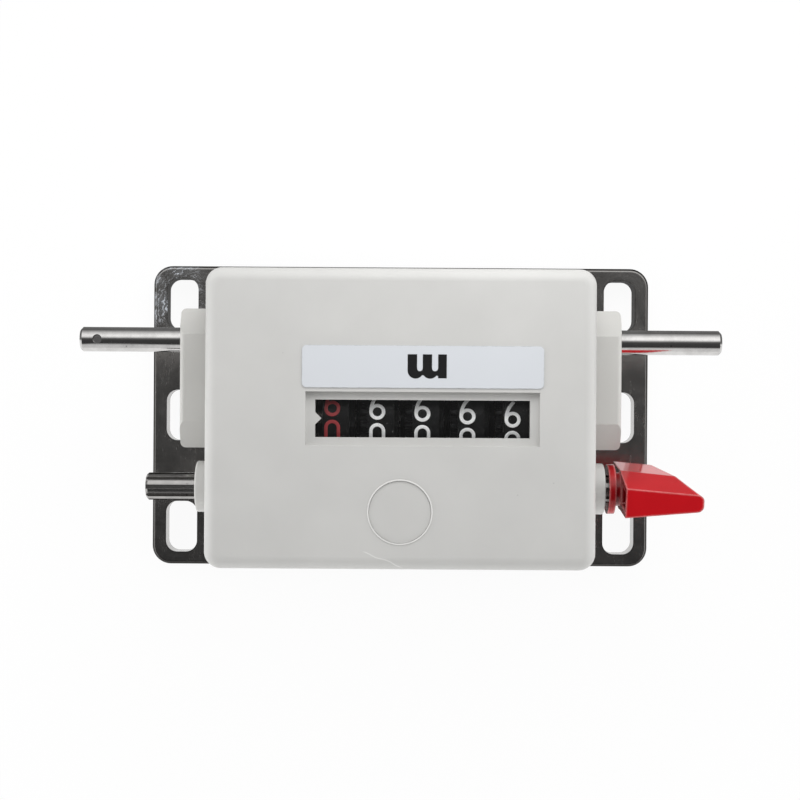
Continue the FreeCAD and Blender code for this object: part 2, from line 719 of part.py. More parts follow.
def cheek_screws():
    """Screws into the tie bars from outside, and into the side covers from inside."""
    ties = []
    covers = []
    for name, side in SIDES:
        for hand in (1, -1):
            centre = (f"{hand} * tie_half", "tie_z")
            ties.append(screw_in("tie_screw_piece", centre, "cheek_outer", side, inward=True))
        for y in cover_boss_places():
            centre = (y, "cover_boss_z")
            covers.append(screw_in("cover_screw_piece", centre, "cheek_inner", side, inward=False))
    return group("tie_screws", ties), group("cover_screws", covers)


def side_cover(name, side):
    """A hollow block that closes the housing's notch and seats the drive bush."""
    body = new_body(f"side_cover_{name}")
    low, high = "cover_low", "cover_high"
    bottom, top = "plate_thick", "cover_top"
    block(body, (f"{side} * cover_inner", f"{side} * cover_outer"), (low, high), (bottom, top))
    outer = size("cover_outer")
    round_edges(body, lambda edge: abs(abs(edge.BoundBox.Center.x) - outer) < TOUCH
                and edge.BoundBox.XLength < TOUCH and edge.BoundBox.ZMax > size("plate_thick") + TOUCH,
                "cover_round")
    cut_block(body, (f"{side} * cover_inner", f"{side} * (cover_outer - case_wall)"),
              (f"{low} + case_wall", f"{high} - case_wall"), (f"{bottom} + case_wall", f"{top} - case_wall"))
    seat = ("cheek_outer", "cover_outer - case_wall / 2")
    rod(body, ("drive_y", "drive_z"), "bush_boss_radius", seat, side)
    for y in cover_boss_places():
        rod(body, (y, "cover_boss_z"), "cover_boss_radius", seat, side)
        bore(body, (y, "cover_boss_z"), "screw_radius + press_gap",
             ("cheek_outer", "cheek_outer + screw_grip + 1"), side)
    bore(body, ("drive_y", "drive_z"), "bush_radius + press_gap", ("cheek_outer", "cover_outer"), side)
    return body


def drive_bush(name, side):
    """A plain sleeve through the cheek and the side cover."""
    body = new_body(f"drive_bush_{name}")
    centre = ("drive_y", "drive_z")
    span = ("cheek_inner", "cover_outer - part_gap")
    rod(body, centre, "bush_radius", span, side)
    bore(body, centre, "drive_radius + run_gap", span, side)
    return body


def reset_bush(name, side):
    """A collar that shows outside the housing, with a spigot pressed into the cheek."""
    body = new_body(f"reset_bush_{name}")
    centre = ("reset_y", "reset_z")
    rod(body, centre, "collar_radius", ("cheek_outer", "collar_end"), side)
    rod(body, centre, "collar_spigot", ("cheek_inner", "cheek_outer"), side)
    outer = size("collar_end")
    round_edges(body, lambda edge: abs(edge.BoundBox.Center.x - side * outer) < TOUCH
                and edge.BoundBox.XLength < TOUCH, "part_gap * 2")
    bore(body, centre, "reset_radius + run_gap", ("cheek_inner", "collar_end"), side)
    return body


# Drive

def clip_seat(start, side):
    """The groove for a retaining ring that begins at start, from its lower X to its higher X."""
    ends = [f"{side} * ({start} - clip_gap / 2)", f"{side} * ({start} + clip_thick + clip_gap / 2)"]
    return ends if side > 0 else ends[::-1]


def shaft_profile(left, right, radius, chamfer, seats):
    """Half section of a bar with chamfered ends and a groove for each retaining ring."""
    points = [(left, "0"), (right, "0"), (right, f"{radius} - {chamfer}"), (f"{right} - {chamfer}", radius)]
    for low, high in seats:
        points += [(high, radius), (high, f"{radius} - clip_seat"), (low, f"{radius} - clip_seat"), (low, radius)]
    points += [(f"{left} + {chamfer}", radius), (left, f"{radius} - {chamfer}")]
    return points


def drive_shaft():
    body = new_body("drive_shaft")
    half = "drive_length / 2"
    seats = [clip_seat(INSIDE, 1), clip_seat(INSIDE, -1)]
    turned(body, shaft_profile(f"-{half}", half, "drive_radius", "shaft_chamfer", seats))
    floor, outside = "drive_radius - oil_depth", "drive_radius + oil_depth"
    mouth = "(cover_outer + clip_gap)"
    for side in (1, -1):
        low, high = f"{side} * ({mouth} - oil_width)", f"{side} * {mouth}"
        turned(body, [(low, floor), (high, floor), (high, outside), (low, outside)], cut=True)
    spot = [(f"{half} - spot_inset", "0")]
    drill(body, spot, "spot_radius", ("drive_radius - spot_depth", "drive_radius"))
    place(body, y="drive_y", z="drive_z")
    return body


def clip(label, shaft_radius, start, side):
    """An open retaining ring, from X = start outwards on one side, about its own X axis."""
    body = new_body(label)
    span = (start, f"({start}) + clip_thick")
    rod(body, ("0", "0"), f"{shaft_radius} + clip_lap", span, side)
    bore(body, ("0", "0"), f"{shaft_radius} - clip_seat + press_gap", span, side)
    ends = (f"{side} * ({span[0]})", f"{side} * ({span[1]})")
    cut_block(body, ends, (f"-{shaft_radius} * 0.6", f"{shaft_radius} * 0.6"),
              (f"-{shaft_radius} - clip_lap", "0"))
    return body


def clips():
    """Retaining rings: two on the drive shaft, two on the wheel axle, one on the reset shaft."""
    drive = [clip("drive_clip_piece", "drive_radius", INSIDE, side) for name, side in SIDES]
    axle = [clip("axle_clip_piece", "axle_radius", OUTSIDE, side) for name, side in SIDES]
    for piece in drive:
        place(piece, y="drive_y", z="drive_z")
    for piece in axle:
        place(piece, z="drum_z")
    reset = clip("reset_shaft_clip", "reset_radius", INSIDE, 1)
    place(reset, y="reset_y", z="reset_z")
    return group("drive_shaft_clips", drive), group("wheel_axle_clips", axle), reset


def gear_line(y, z):
    """The angle from the number wheels' axis to another shaft, across X."""
    return math.atan2(size(z) - size("drum_z"), size(y))


def tooth_shift():
    """Half a tooth, so that a gap of one gear faces a tooth of the other."""
    return math.pi / size("gear_teeth")


def drive_gear():
    """Gear on the drive shaft, with a hub and a grub screw."""
    width = size("gear_width")
    hub_end = width + size("gear_hub_length")
    line = gear_line("drive_y", "drive_z")
    solid = spur_gear(size("drive_centres"), width, line + math.pi)
    solid = solid.fuse(disc(size("gear_hub_radius"), hub_end))
    solid = solid.cut(disc(size("drive_radius") + size("press_gap"), hub_end))
    screw_x = width + size("gear_hub_length") / 2
    up = FreeCAD.Vector(0, 0, 1)
    hole = Part.makeCylinder(size("screw_radius") + size("press_gap"), size("gear_hub_radius") + 1,
                             FreeCAD.Vector(screw_x, 0, 0), up)
    grub = Part.makeCylinder(size("screw_radius"), size("gear_hub_radius") - size("drive_radius") - size("part_gap"),
                             FreeCAD.Vector(screw_x, 0, size("drive_radius") + size("press_gap")), up)
    place_at = (size("gear_start") + size("part_gap"), size("drive_y"), size("drive_z"))
    shape_feature("drive_gear", solid.cut(hole), *place_at)
    shape_feature("gear_grub_screw", grub, *place_at)


def input_gear():
    """Gear beside the tenths wheel, turned with it by the drive gear."""
    width = size("gear_width") + 2 * size("part_gap")
    line = gear_line("drive_y", "drive_z")
    solid = spur_gear(size("drive_centres"), width, line + tooth_shift())
    solid = solid.cut(disc(size("axle_radius") + size("run_gap"), width))
    shape_feature("input_gear", solid, size("gear_start"), 0, size("drum_z"))


# Number wheels and carry

def wheel_profile():
    """Half section of a number wheel: hub, web and rim, with a step for the carry disc."""
    return [("-hub_half", "axle_radius + run_gap"), ("hub_half", "axle_radius + run_gap"),
            ("hub_half", "hub_radius"), ("web_thick / 2", "hub_radius"), ("web_thick / 2", "rim_bore"),
            ("rim_near", "rim_bore"), ("rim_near", "wheel_radius"), ("-rim_far", "wheel_radius"),
            ("-rim_far", "lock_radius"), ("-hub_half", "lock_radius"), ("-hub_half", "rim_bore"),
            ("-web_thick / 2", "rim_bore"), ("-web_thick / 2", "hub_radius"), ("-hub_half", "hub_radius")]


def wheel_place(order):
    return f"first_wheel - {order} * wheel_pitch"


def wheel_blank(label, with_carry):
    """A number wheel without its toothed ring. The two carry teeth stand on top at rest."""
    body = new_body(label)
    turned(body, wheel_profile())
    if with_carry:
        for hand in (1, -1):
            block(body, ("-hub_half", "-rim_far"),
                  (f"{hand} * carry_space / 2", f"{hand} * (carry_space / 2 + carry_tooth)"),
                  ("lock_radius - lock_step", "carry_radius - carry_short"))
    drill(body, [("pickup_offset", "0")], "pickup_radius + press_gap", ("0", "hub_radius"))
    return body


def toothed_ring():
    """The twenty-tooth ring that the transfer pinion turns, with a gap straight down."""
    tip = size("ring_pitch") + size("carry_addendum")
    root = size("ring_pitch") - size("carry_dedendum")
    teeth = int(size("ring_teeth"))
    width = size("ring_width")
    middle = -math.pi / 2 + math.pi / teeth
    ring = toothed_disc(teeth, size("ring_pitch"), tip, root, width, middle)
    return ring.cut(disc(size("rim_bore"), width))


def number_wheel(name, order):
    """The first wheel is turned by the input gear, and the last one carries no further."""
    label = f"{name}_wheel"
    if order == 0:
        wheel = wheel_blank(label, with_carry=True)
    else:
        blank = wheel_blank(label + "_blank", with_carry=order < len(WHEELS) - 1)
        ring = shape_feature(label + "_ring", toothed_ring(), size("rim_near"))
        wheel = doc.addObject("Part::MultiFuse", label)
        wheel.Shapes = [blank, ring]
        doc.recompute()
    place(wheel, x=wheel_place(order), z="drum_z")


def pickup(name, order):
    """The pin and open spring in a wheel's hub that let the axle's groove take the wheel back to nought."""
    middle = f"{wheel_place(order)} + pickup_offset"
    pin = doc.addObject("Part::Cylinder", "pickup_pin_piece")
    bind(pin, "Radius", "pickup_radius")
    bind(pin, "Height", "hub_radius - axle_radius - run_gap")
    place(pin, x=middle, z="drum_z + axle_radius + run_gap")
    spring = new_body("pickup_spring_piece")
    half = "pickup_radius"
    rod(spring, ("0", "0"), "hub_radius + press_gap + pickup_spring", (f"-{half}", half))
    bore(spring, ("0", "0"), "hub_radius + press_gap", (f"-{half}", half))
    cut_block(spring, (f"-{half}", half), ("-hub_radius / 2", "hub_radius / 2"), ("-hub_radius - 1", "0"))
    place(spring, x=middle, z="drum_z")
    return group(f"{name}_pickup", [pin, spring])


def pinion_start(order):
    """Where the pinion beside a wheel begins, next to that wheel's rim."""
    return f"{wheel_place(order)} + rim_near + part_gap"


def transfer_pinion(order):
    """Eight teeth in the next wheel's ring. Every second one goes on past the carry disc."""
    teeth = int(size("pinion_teeth"))
    pitch = size("pinion_pitch")
    tip = pitch + size("carry_addendum")
    root = pitch - size("carry_dedendum")
    full = size("ring_width")
    length = size("wheel_pitch") - size("rim_near") - size("rim_far") - 2 * size("part_gap")
    solid = toothed_disc(teeth, pitch, tip, root, full, math.pi / 2)
    half = toothed_disc(teeth, pitch, tip, root, length - full, math.pi / 2, list(range(0, teeth, 2)))
    half.translate(FreeCAD.Vector(full, 0, 0))
    solid = solid.fuse(half)
    solid = solid.cut(disc(size("pinion_axle_radius") + size("run_gap"), length))
    start = size("first_wheel") - order * size("wheel_pitch") + size("rim_near") + size("part_gap")
    shape_feature(f"transfer_pinion_{order}", solid, start, 0, size("pinion_z"))


def pinion_axle():
    body = new_body("pinion_axle")
    rod(body, ("0", "pinion_z"), "pinion_axle_radius", ("-cheek_outer", "cheek_outer"))
    return body


def pinion_spacers():
    """Sleeves on the pinion axle that keep the four pinions beside their wheels."""
    length = "wheel_pitch - rim_near - rim_far - 2 * part_gap"
    last = len(WHEELS) - 1
    stops = ["-cheek_inner"]
    for order in range(last, 0, -1):
        stops += [pinion_start(order), f"{pinion_start(order)} + {length}"]
    stops.append("cheek_inner")
    sleeves = []
    for start, end in zip(stops[::2], stops[1::2]):
        body = new_body("pinion_spacer_piece")
        span = (f"{start} + clip_gap", f"{end} - clip_gap")
        rod(body, ("0", "pinion_z"), "spacer_radius", span)
        bore(body, ("0", "pinion_z"), "pinion_axle_radius + press_gap", span)
        sleeves.append(body)
    return group("pinion_spacers", sleeves)


def wheel_axle():
    """The axle that the wheels run on, with the groove that picks their pins up."""
    body = new_body("wheel_axle")
    end = "(cheek_outer + axle_overhang)"
    seats = [clip_seat(OUTSIDE, 1), clip_seat(OUTSIDE, -1)]
    turned(body, shaft_profile(f"-{end}", end, "axle_radius", "clip_gap", seats))
    cut_block(body, ("last_wheel - hub_half", "first_wheel + hub_half"),
              ("-axle_groove / 2", "axle_groove / 2"), ("axle_radius - groove_depth", "axle_radius"))
    place(body, z="drum_z")
    return body


def axle_spacers():
    """Sleeves that keep the wheels together between the reset gear and the right cheek."""
    spans = [("reset_gear_start + gear_width + clip_gap / 2", "last_wheel - hub_half - clip_gap / 2"),
             ("gear_end + clip_gap", "cheek_inner - clip_gap")]
    sleeves = []
    for span in spans:
        body = new_body("axle_spacer_piece")
        rod(body, ("0", "drum_z"), "axle_spacer_radius", span)
        bore(body, ("0", "drum_z"), "axle_radius + press_gap", span)
        sleeves.append(body)
    return group("axle_spacers", sleeves)


# Reset

def reset_gears():
    """A pair of equal gears: one on the reset shaft, one on the wheel axle."""
    line = gear_line("reset_y", "reset_z")
    width = size("gear_width")
    gap = size("press_gap")
    lower = spur_gear(size("reset_centres"), width, line + math.pi)
    upper = spur_gear(size("reset_centres"), width, line + tooth_shift())
    start = size("reset_gear_start")
    lower = lower.cut(disc(size("reset_radius") + gap, width))
    upper = upper.cut(disc(size("axle_radius") + gap, width))
    shape_feature("reset_gear", lower, start, size("reset_y"), size("reset_z"))
    shape_feature("axle_gear", upper, start, 0, size("drum_z"))


def reset_shaft():
    """A toothed bar right through the counter. One end is free and the other holds the key."""
    body = new_body("reset_shaft")
    left, right = "-reset_key_end", "reset_free_end"
    turned(body, shaft_profile(left, right, "reset_radius", "shaft_chamfer", [clip_seat(INSIDE, 1)]))
    corners = rectangle_corners(("-spline_groove / 2", "spline_groove / 2"),
                                ("reset_radius - spline_depth", "reset_radius + spline_depth"))
    outline = polygon(body, "YZ_Plane", left, corners)
    groove = pocket(body, outline, "reset_key_end + reset_free_end")
    pattern = body.newObject("PartDesign::PolarPattern", "grooves")
    pattern.Originals = [groove]
    pattern.Axis = (next(a for a in body.Origin.OriginFeatures if a.Role == "X_Axis"), [""])
    pattern.Angle = 360
    bind(pattern, "Occurrences", "spline_teeth")
    body.Tip = pattern
    doc.recompute()
    place(body, y="reset_y", z="reset_z")
    return body


def wing_section(body, offset, edge, crest):
    """Six-sided section across the wing: thin at both edges, thick along the middle."""
    corners = [(edge, "wing_half"), (crest, "0"), (edge, "-wing_half"), (f"-{edge}", "-wing_half"),
               (f"-{crest}", "0"), (f"-{edge}", "wing_half")]
    return polygon(body, "YZ_Plane", offset, corners)


def reset_key():
    """The wing key: a disc and neck on the toothed shaft, and a wing cut off aslant at its free end."""
    body = new_body("reset_key")
    rod(body, ("0", "0"), "key_disc_radius", ("key_start", "key_start + key_disc"), side=-1)
    rod(body, ("0", "0"), "key_neck_radius", ("key_start", "wing_start"), side=-1)
    root = wing_section(body, "-wing_start", "wing_edge", "wing_crest")
    tip = wing_section(body, "-wing_tip", "wing_edge_tip", "wing_crest_tip")
    loft = body.newObject("PartDesign::AdditiveLoft", "wing")
    loft.Profile = root
    loft.Sections = [tip]
    loft.Ruled = True
    doc.recompute()
    aslant = [("-wing_short", "-wing_half"), ("-wing_tip", "wing_half"), ("-wing_tip - 1", "wing_half"),
              ("-wing_tip - 1", "-wing_half - 1"), ("-wing_short", "-wing_half - 1")]
    pocket(body, polygon(body, "XZ_Plane", "0", aslant), "4 * wing_crest", both=True)
    low = FreeCAD.Vector(-size("wing_short"), 0, -size("wing_half"))
    high = FreeCAD.Vector(-size("wing_tip"), 0, size("wing_half"))
    across = (high - low).cross(FreeCAD.Vector(0, 1, 0)).normalize()

    def on_slant(point):
        return abs((point - low).dot(across)) < TOUCH

    def slant_edge(edge):
        ends = [vertex.Point for vertex in edge.Vertexes]
        return all(on_slant(point) for point in ends) and abs(ends[0].z - ends[-1].z) > 1

    round_edges(body, slant_edge, "wing_round")
    bore(body, ("0", "0"), "reset_radius + press_gap", ("key_start", "reset_key_end + part_gap"), side=-1)
    body.Placement = FreeCAD.Placement(FreeCAD.Vector(0, 0, 0), FreeCAD.Rotation(FreeCAD.Vector(1, 0, 0), -1))
    bind(body, "Placement.Rotation.Angle", "-wing_tilt")
    place(body, y="reset_y", z="reset_z")
    return body


def build():
    mounting_plate()
    plate_screws()
    housing()
    window_pane()
    unit_label()
    for name, side in SIDES:
        frame_cheek(name, side)
        side_cover(name, side)
        drive_bush(name, side)
        reset_bush(name, side)
    tie_bars()
    cheek_screws()
    drive_shaft()
    clips()
    drive_gear()
    input_gear()
    for order, name in enumerate(WHEELS):
        number_wheel(name, order)
        pickup(name, order)
    for order in range(1, len(WHEELS)):
        transfer_pinion(order)
    pinion_axle()
    pinion_spacers()
    wheel_axle()
    axle_spacers()
    reset_gears()
    reset_shaft()
    reset_key()
    doc.recompute()


def node_names():
    """The pieces that are written out, each under its own name."""
    sides = [name for name, side in SIDES]
    names = ["mounting_plate", "housing_screws", "foot_screws", "housing", "window_pane", "unit_label"]
    for piece in ("frame_cheek", "side_cover", "drive_bush", "reset_bush"):
        names += [f"{piece}_{side}" for side in sides]
    names += ["tie_bars", "tie_screws", "cover_screws", "drive_shaft", "drive_shaft_clips", "drive_gear",
              "gear_grub_screw", "input_gear"]
    for wheel in WHEELS:
        names += [f"{wheel}_wheel", f"{wheel}_pickup"]
    names += [f"transfer_pinion_{order}" for order in range(1, len(WHEELS))]
    names += ["pinion_axle", "pinion_spacers", "wheel_axle", "wheel_axle_clips", "axle_spacers",
              "axle_gear", "reset_gear", "reset_shaft", "reset_shaft_clip", "reset_key"]
    return names


def check_and_write():
    """Stops on any failed object or broken solid, then writes one file for each piece."""
    for item in doc.Objects:
        if "Invalid" in item.State or "Error" in item.State:
            raise RuntimeError(f"{item.Label} failed: {item.State}")
    pieces = []
    for name in node_names():
        item = doc.getObjectsByLabel(name)[0]
        shape = item.Shape
        if shape.isNull() or not shape.isValid() or not shape.Solids:
            raise RuntimeError(f"{name} has no valid solid")
        pieces.append((name, shape))
    os.makedirs("parts", exist_ok=True)
    for name, shape in pieces:
        shape.exportStep(f"parts/{name}.step")
        print(name, len(shape.Solids), round(shape.Volume, 2))


build()
check_and_write()
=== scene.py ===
"""Dresses the cable length counter: finishes, marks, key, covers, screws and studio."""

import json
import math

import bmesh
import bpy
from mathutils import Matrix, Vector

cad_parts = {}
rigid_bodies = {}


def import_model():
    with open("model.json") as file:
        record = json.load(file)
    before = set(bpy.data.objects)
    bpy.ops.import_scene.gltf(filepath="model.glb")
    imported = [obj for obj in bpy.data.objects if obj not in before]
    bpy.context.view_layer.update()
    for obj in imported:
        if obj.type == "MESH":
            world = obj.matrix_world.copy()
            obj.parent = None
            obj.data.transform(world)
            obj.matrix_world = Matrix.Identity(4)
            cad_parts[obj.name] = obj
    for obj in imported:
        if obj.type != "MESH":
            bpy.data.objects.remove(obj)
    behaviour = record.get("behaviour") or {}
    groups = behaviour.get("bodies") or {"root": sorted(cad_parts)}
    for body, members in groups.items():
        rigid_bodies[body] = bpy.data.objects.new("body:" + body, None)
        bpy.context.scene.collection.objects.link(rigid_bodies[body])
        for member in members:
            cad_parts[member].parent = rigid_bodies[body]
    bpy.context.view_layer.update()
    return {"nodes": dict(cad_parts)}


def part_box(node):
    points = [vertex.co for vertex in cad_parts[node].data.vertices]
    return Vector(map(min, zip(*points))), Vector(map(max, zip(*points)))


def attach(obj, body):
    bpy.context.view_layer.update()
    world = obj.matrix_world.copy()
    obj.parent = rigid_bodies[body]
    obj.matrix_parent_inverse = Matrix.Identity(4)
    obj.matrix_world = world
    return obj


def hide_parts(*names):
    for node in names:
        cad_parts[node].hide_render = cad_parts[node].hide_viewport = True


bl_info = {
    "name": "Cable Length Counter",
    "version": (1, 0, 0),
    "blender": (4, 5, 0),
    "location": "3D View > Sidebar > Counter",
    "description": "Finishes a cable length counter and sets its studio",
    "category": "Object",
}

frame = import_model()
NODES = frame["nodes"]
MM = 0.001
WHEELS = ("tenths", "units", "tens", "hundreds", "thousands")

# Points closer than this are joined, in a copy of a CAD part and in the cut key.
CAD_MERGE = 0.000002
KEY_MERGE = 0.000001

# Parts with another finish than their slot's; the input gear's black finish is painted shade, for
# the shade that the ivory gear lies in inside the housing.
OTHER_FINISHES = {"input_gear": "wheel_plastic", "reset_shaft": "toothed_steel",
                  "tenths_pickup": "spring_steel"}

# Degrees that each wheel's numerals are turned by, as read in the photograph.
READING = {"tenths": -0.3, "units": 3.4, "tens": 5.4, "hundreds": 8.3, "thousands": 11.8}

# The wing key: its wing's root, its axis and lean, the faces that stay flat, and its cutters.
ROOT_FACE = -35.8 * MM
RESET_AXIS = Vector((0.0, 11.4 * MM, 26.8 * MM))
KEY_LEAN = math.radians(13.4)
LARGE_FACE = 3 * MM ** 2
NECK_WIDER = 1.4
NECK_GAP = 0.01 * MM
POCKET_TAPER = (1.0, 0.7, 0.8)

# Lines of a mark: how far each next one lies above the last, and the width left at a round end.
LINE_LIFT = 0.004 * MM
LEAST_WIDTH = 0.02

# The marks: a numeral's middle from its wheel's left side, the letter's corner, the dish's middle
# from the housing's near side, the rim's height over the front, and the flow line's ends.
NUMERAL_INSET = 3.4 * MM
LETTER_PLACE = (-7.04 * MM, -9.92 * MM)
DISH_INSET = 8.95 * MM
RIM_STANDS = 0.1 * MM
FLOW_LINE = ((5.84 * MM, 20.5 * MM, 42.5 * MM), (-0.42 * MM, 23.1 * MM, 42.5 * MM))

# Size along X, Y and Z of the block that cuts a cover's slope.
WEDGE_SIZE = (14 * MM, 12 * MM, 6 * MM)

# Cross recesses: the first one's turn and each next one's further turn in degrees, the share of
# the width that is left inside, and how far the cutter stands out of the head.
FIRST_TURN = 23
NEXT_TURN = 31
RECESS_TAPER = 0.5
OVERLAP = 0.05 * MM

# Colours of parts and marks that the settings leave alone.
WHITE = (1.0, 1.0, 1.0, 1.0)
IVORY = (0.8, 0.78, 0.72)
SHEET_STEEL = (0.6, 0.6, 0.6)
SHAFT_STEEL = (0.66, 0.65, 0.64)
TOOTHED_STEEL = (0.42, 0.41, 0.4)
AXLE_STEEL = (0.62, 0.62, 0.62)
SCREW_STEEL = (0.6, 0.6, 0.61)
SPRING_STEEL = (0.3, 0.29, 0.28)
BRONZE = (0.55, 0.36, 0.17)
BRASS = (0.72, 0.52, 0.24)
CLEAR = (0.97, 0.975, 0.975, 1.0)
RUST = (0.20, 0.165, 0.14, 1.0)
# Near black for darker edges, and for the plate's painted dark reflection on its tilted edge faces.
DARK_EDGE_AND_PAINTED_REFLECTION = (0.045, 0.042, 0.04, 1.0)
ZINC = (0.8, 0.84, 0.9, 1.0)
PALE_DUST = (0.25, 0.25, 0.25, 1.0)
WORN_BLACK = (0.05, 0.05, 0.05, 1.0)
# Pale red of the key's ridges: a painted highlight with some rubbed wear.
HIGHLIT_AND_RUBBED_RED = (0.9, 0.33, 0.33, 1.0)
PAPER = (0.86, 0.86, 0.86, 1.0)

# The camera's place over the floor and its turn.
CAMERA_PLACE = (0.00009, -0.0029)
CAMERA_TURN = math.radians(180.38)
SENSOR_WIDTH = 36.0

# Each lamp's name, place, side and share of the lamp power.
LAMPS = (
    ("far_lamp", (-0.018, -0.10, 0.105), 0.08, 0.87),
    ("key_side_lamp", (-0.25, 0.0, 0.075), 0.15, 1.8),
    ("free_side_lamp", (0.25, 0.0, 0.075), 0.15, 2.8),
    ("near_lamp", (0.0, 0.25, 0.07), 0.15, 1.9),
)
LAMP_AIM = Vector((0.0, 0.0, 0.02))

# The floor: its size, its drop below the plate, its glow, and the dark card that metal sees in it.
FLOOR_SIZE = 6.0
FLOOR_DROP = 0.0002
FLOOR_GLOW = 0.94
CARD_EDGE = (-0.002, -0.009)
CARD_LEVEL = 0.12

# Brightness round the tent, from the far foot (-90 degrees) over the top (0) to the near foot (90).
TENT_WALL = (
    (-90, 0.3), (-72, 0.6), (-55, 1.05), (-35, 1.3), (-22, 1.1),
    (-8, 0.19), (5, 0.065), (46, 0.045), (58, 0.75), (90, 0.8),
)
TENT_SCALE = 2.0


def length(name, description, millimetres, precision=5):
    """A length with the words that the panel shows."""
    return bpy.props.FloatProperty(name=name, description=description, default=millimetres * MM,
                                   unit="LENGTH", precision=precision)


def shade(name, description, default):
    """A colour with the words that the panel shows."""
    return bpy.props.FloatVectorProperty(name=name, description=description, default=default,
                                         subtype="COLOR", min=0.0, max=1.0, size=3)


def brightness(name, description, default, most=10.0):
    """A brightness with the words that the panel shows."""
    return bpy.props.FloatProperty(name=name, description=description, default=default,
                                   min=0.0, max=most)


class CounterSizes(bpy.types.PropertyGroup):
    numeral_stroke: length("Numeral stroke", "Width of a numeral's line", 0.54)
    numeral_width: length("Numeral width", "Overall width of a numeral", 2.5)
    numeral_height: length("Numeral height", "Overall height of a numeral", 4.2)
    numeral_relief: length("Numeral relief", "Thickness of the stamped foil", 0.05, 6)
    letter_width: length("Unit letter width", "Overall width of the unit letter", 6.0)
    letter_ink: length("Unit letter ink", "Thickness of the printed letter", 0.02, 6)
    rim_radius: length("Rim radius", "Radius of the rim round the dish", 4.92)
    rim_width: length("Rim width", "Width of the rim round the dish", 0.22)
    rim_height: length("Rim height", "Height of the rim from its groove", 0.34)
    slope_length: length("Cover slope length", "Length of the slope at a cover's end", 4.2)
    cover_slope: bpy.props.FloatProperty(name="Cover slope", default=math.radians(28),
                                         description="Slope of a cover's top at its ends",
                                         subtype="ANGLE")
    key_hollow: length("Key hollow", "Depth of the hollows in the key's root", 4.5)
    pocket_start: length("Hollow start", "Near side of a hollow from the shaft", 2.9)
    pocket_end: length("Hollow end", "Far side of a hollow from the shaft", 7.15)
    pocket_half: length("Hollow half width", "Half the width of a hollow", 1.65)
    neck_radius: length("Key neck", "Radius of the neck behind the disc", 2.75)
    neck_length: length("Neck length", "Length of the neck behind the disc", 0.98)
    recess_width: length("Cross width", "Width of a screw's cross recess", 2.5)
    recess_slot: length("Cross arm", "Thickness of a cross recess's arm", 0.62)
    recess_depth: length("Cross depth", "Depth of a screw's cross recess", 1.1)


class CounterColours(bpy.types.PropertyGroup):
    housing: shade("Housing", "Pale warm grey moulding", (0.54, 0.537, 0.523))
    # Dish rim: the housing's moulding made lighter, a painted highlight for the light that the
    # rim's top catches.
    rim: shade("Dish rim", "Rubbed pale moulding", (0.7, 0.696, 0.68))
    cover: shade("Side covers", "Pale grey moulding", (0.525, 0.52, 0.5))
    collar: shade("Collars", "Grey moulding", (0.57, 0.565, 0.55))
    plate: shade("Plate", "Plated steel", (0.36, 0.35, 0.34))
    label: shade("Label", "Cool white film", (0.598, 0.619, 0.65))
    ink: shade("Ink", "Black print", (0.004, 0.004, 0.0045))
    wheel: shade("Wheels", "Black moulding", (0.0035, 0.0035, 0.0038))
    numeral: shade("Numerals", "White foil", (0.95, 0.95, 0.95))
    tenths_numeral: shade("Tenths numerals", "Red foil", (0.4, 0.045, 0.05))
    key: shade("Key", "Red gloss moulding", (0.5, 0.007, 0.012))


class StudioSettings(bpy.types.PropertyGroup):
    camera_height: bpy.props.FloatProperty(name="Camera height", default=0.2815, unit="LENGTH",
                                           description="Height of the camera over the floor",
                                           precision=4)
    lens: bpy.props.FloatProperty(name="Lens", description="Focal length of the camera",
                                  default=70.2, unit="CAMERA")
    tent_level: brightness("Tent level", "Brightness of the light tent", 1.0)
    tent_lean: brightness("Tent lean", "How much brighter the tent's key side is", 0.25, 1.0)
    end_level: brightness("End level", "Brightness of the tent's two ends", 0.95)
    lamp_power: bpy.props.FloatProperty(name="Lamp power", default=0.11, unit="POWER",
                                        description="Power that each lamp has a share of")


def feed(tree, made, inputs=(), **named):
    """Gives a node's inputs values or other nodes' outputs; names have _ for a space."""
    spaced = {key.replace("_", " "): value for key, value in named.items()}
    for key, value in {**dict(inputs), **spaced}.items():
        if isinstance(value, bpy.types.NodeSocket):
            tree.links.new(value, made.inputs[key])
        else:
            made.inputs[key].default_value = value


def node(tree, kind, inputs=(), **settings):
    """Adds one shader node with its inputs and settings."""
    made = tree.nodes.new("ShaderNode" + kind)
    for name, value in settings.items():
        setattr(made, name, value)
    feed(tree, made, inputs)
    return made


def math_node(tree, operation, *values, clamp=False):
    """Result of one sum on numbers or sockets."""
    return node(tree, "Math", enumerate(values), operation=operation, use_clamp=clamp).outputs[0]


def product(tree, first, second):
    """Two numbers or sockets multiplied."""
    return math_node(tree, "MULTIPLY", first, second)


def total(tree, first, second):
    """Two numbers or sockets added."""
    return math_node(tree, "ADD", first, second)


def mixed(tree, share, first, second):
    """Colour between two colours."""
    inputs = {0: share, 6: first, 7: second}
    return node(tree, "Mix", inputs, data_type="RGBA").outputs[2]


def ranged(tree, value, low, high, start=0.0, end=1.0, smooth=False):
    """Value taken from one range to another and held at its ends."""
    inputs = {0: value, 1: low, 2: high, 3: start, 4: end}
    kind = "SMOOTHSTEP" if smooth else "LINEAR"
    return node(tree, "MapRange", inputs, interpolation_type=kind).outputs[0]


def noise(tree, vector, scale, detail=2.0, roughness=0.5, distortion=0.0):
    """Cloudy pattern from 0 to 1."""
    inputs = {"Vector": vector, "Scale": scale, "Detail": detail, "Roughness": roughness,
              "Distortion": distortion}
    return node(tree, "TexNoise", inputs).outputs[0]


def stretched(tree, vector, scale, turn=(0.0, 0.0, 0.0), shift=(0.0, 0.0, 0.0)):
    """Coordinates stretched, turned and shifted for a pattern."""
    inputs = {"Vector": vector, "Scale": scale, "Rotation": turn, "Location": shift}
    return node(tree, "Mapping", inputs).outputs[0]


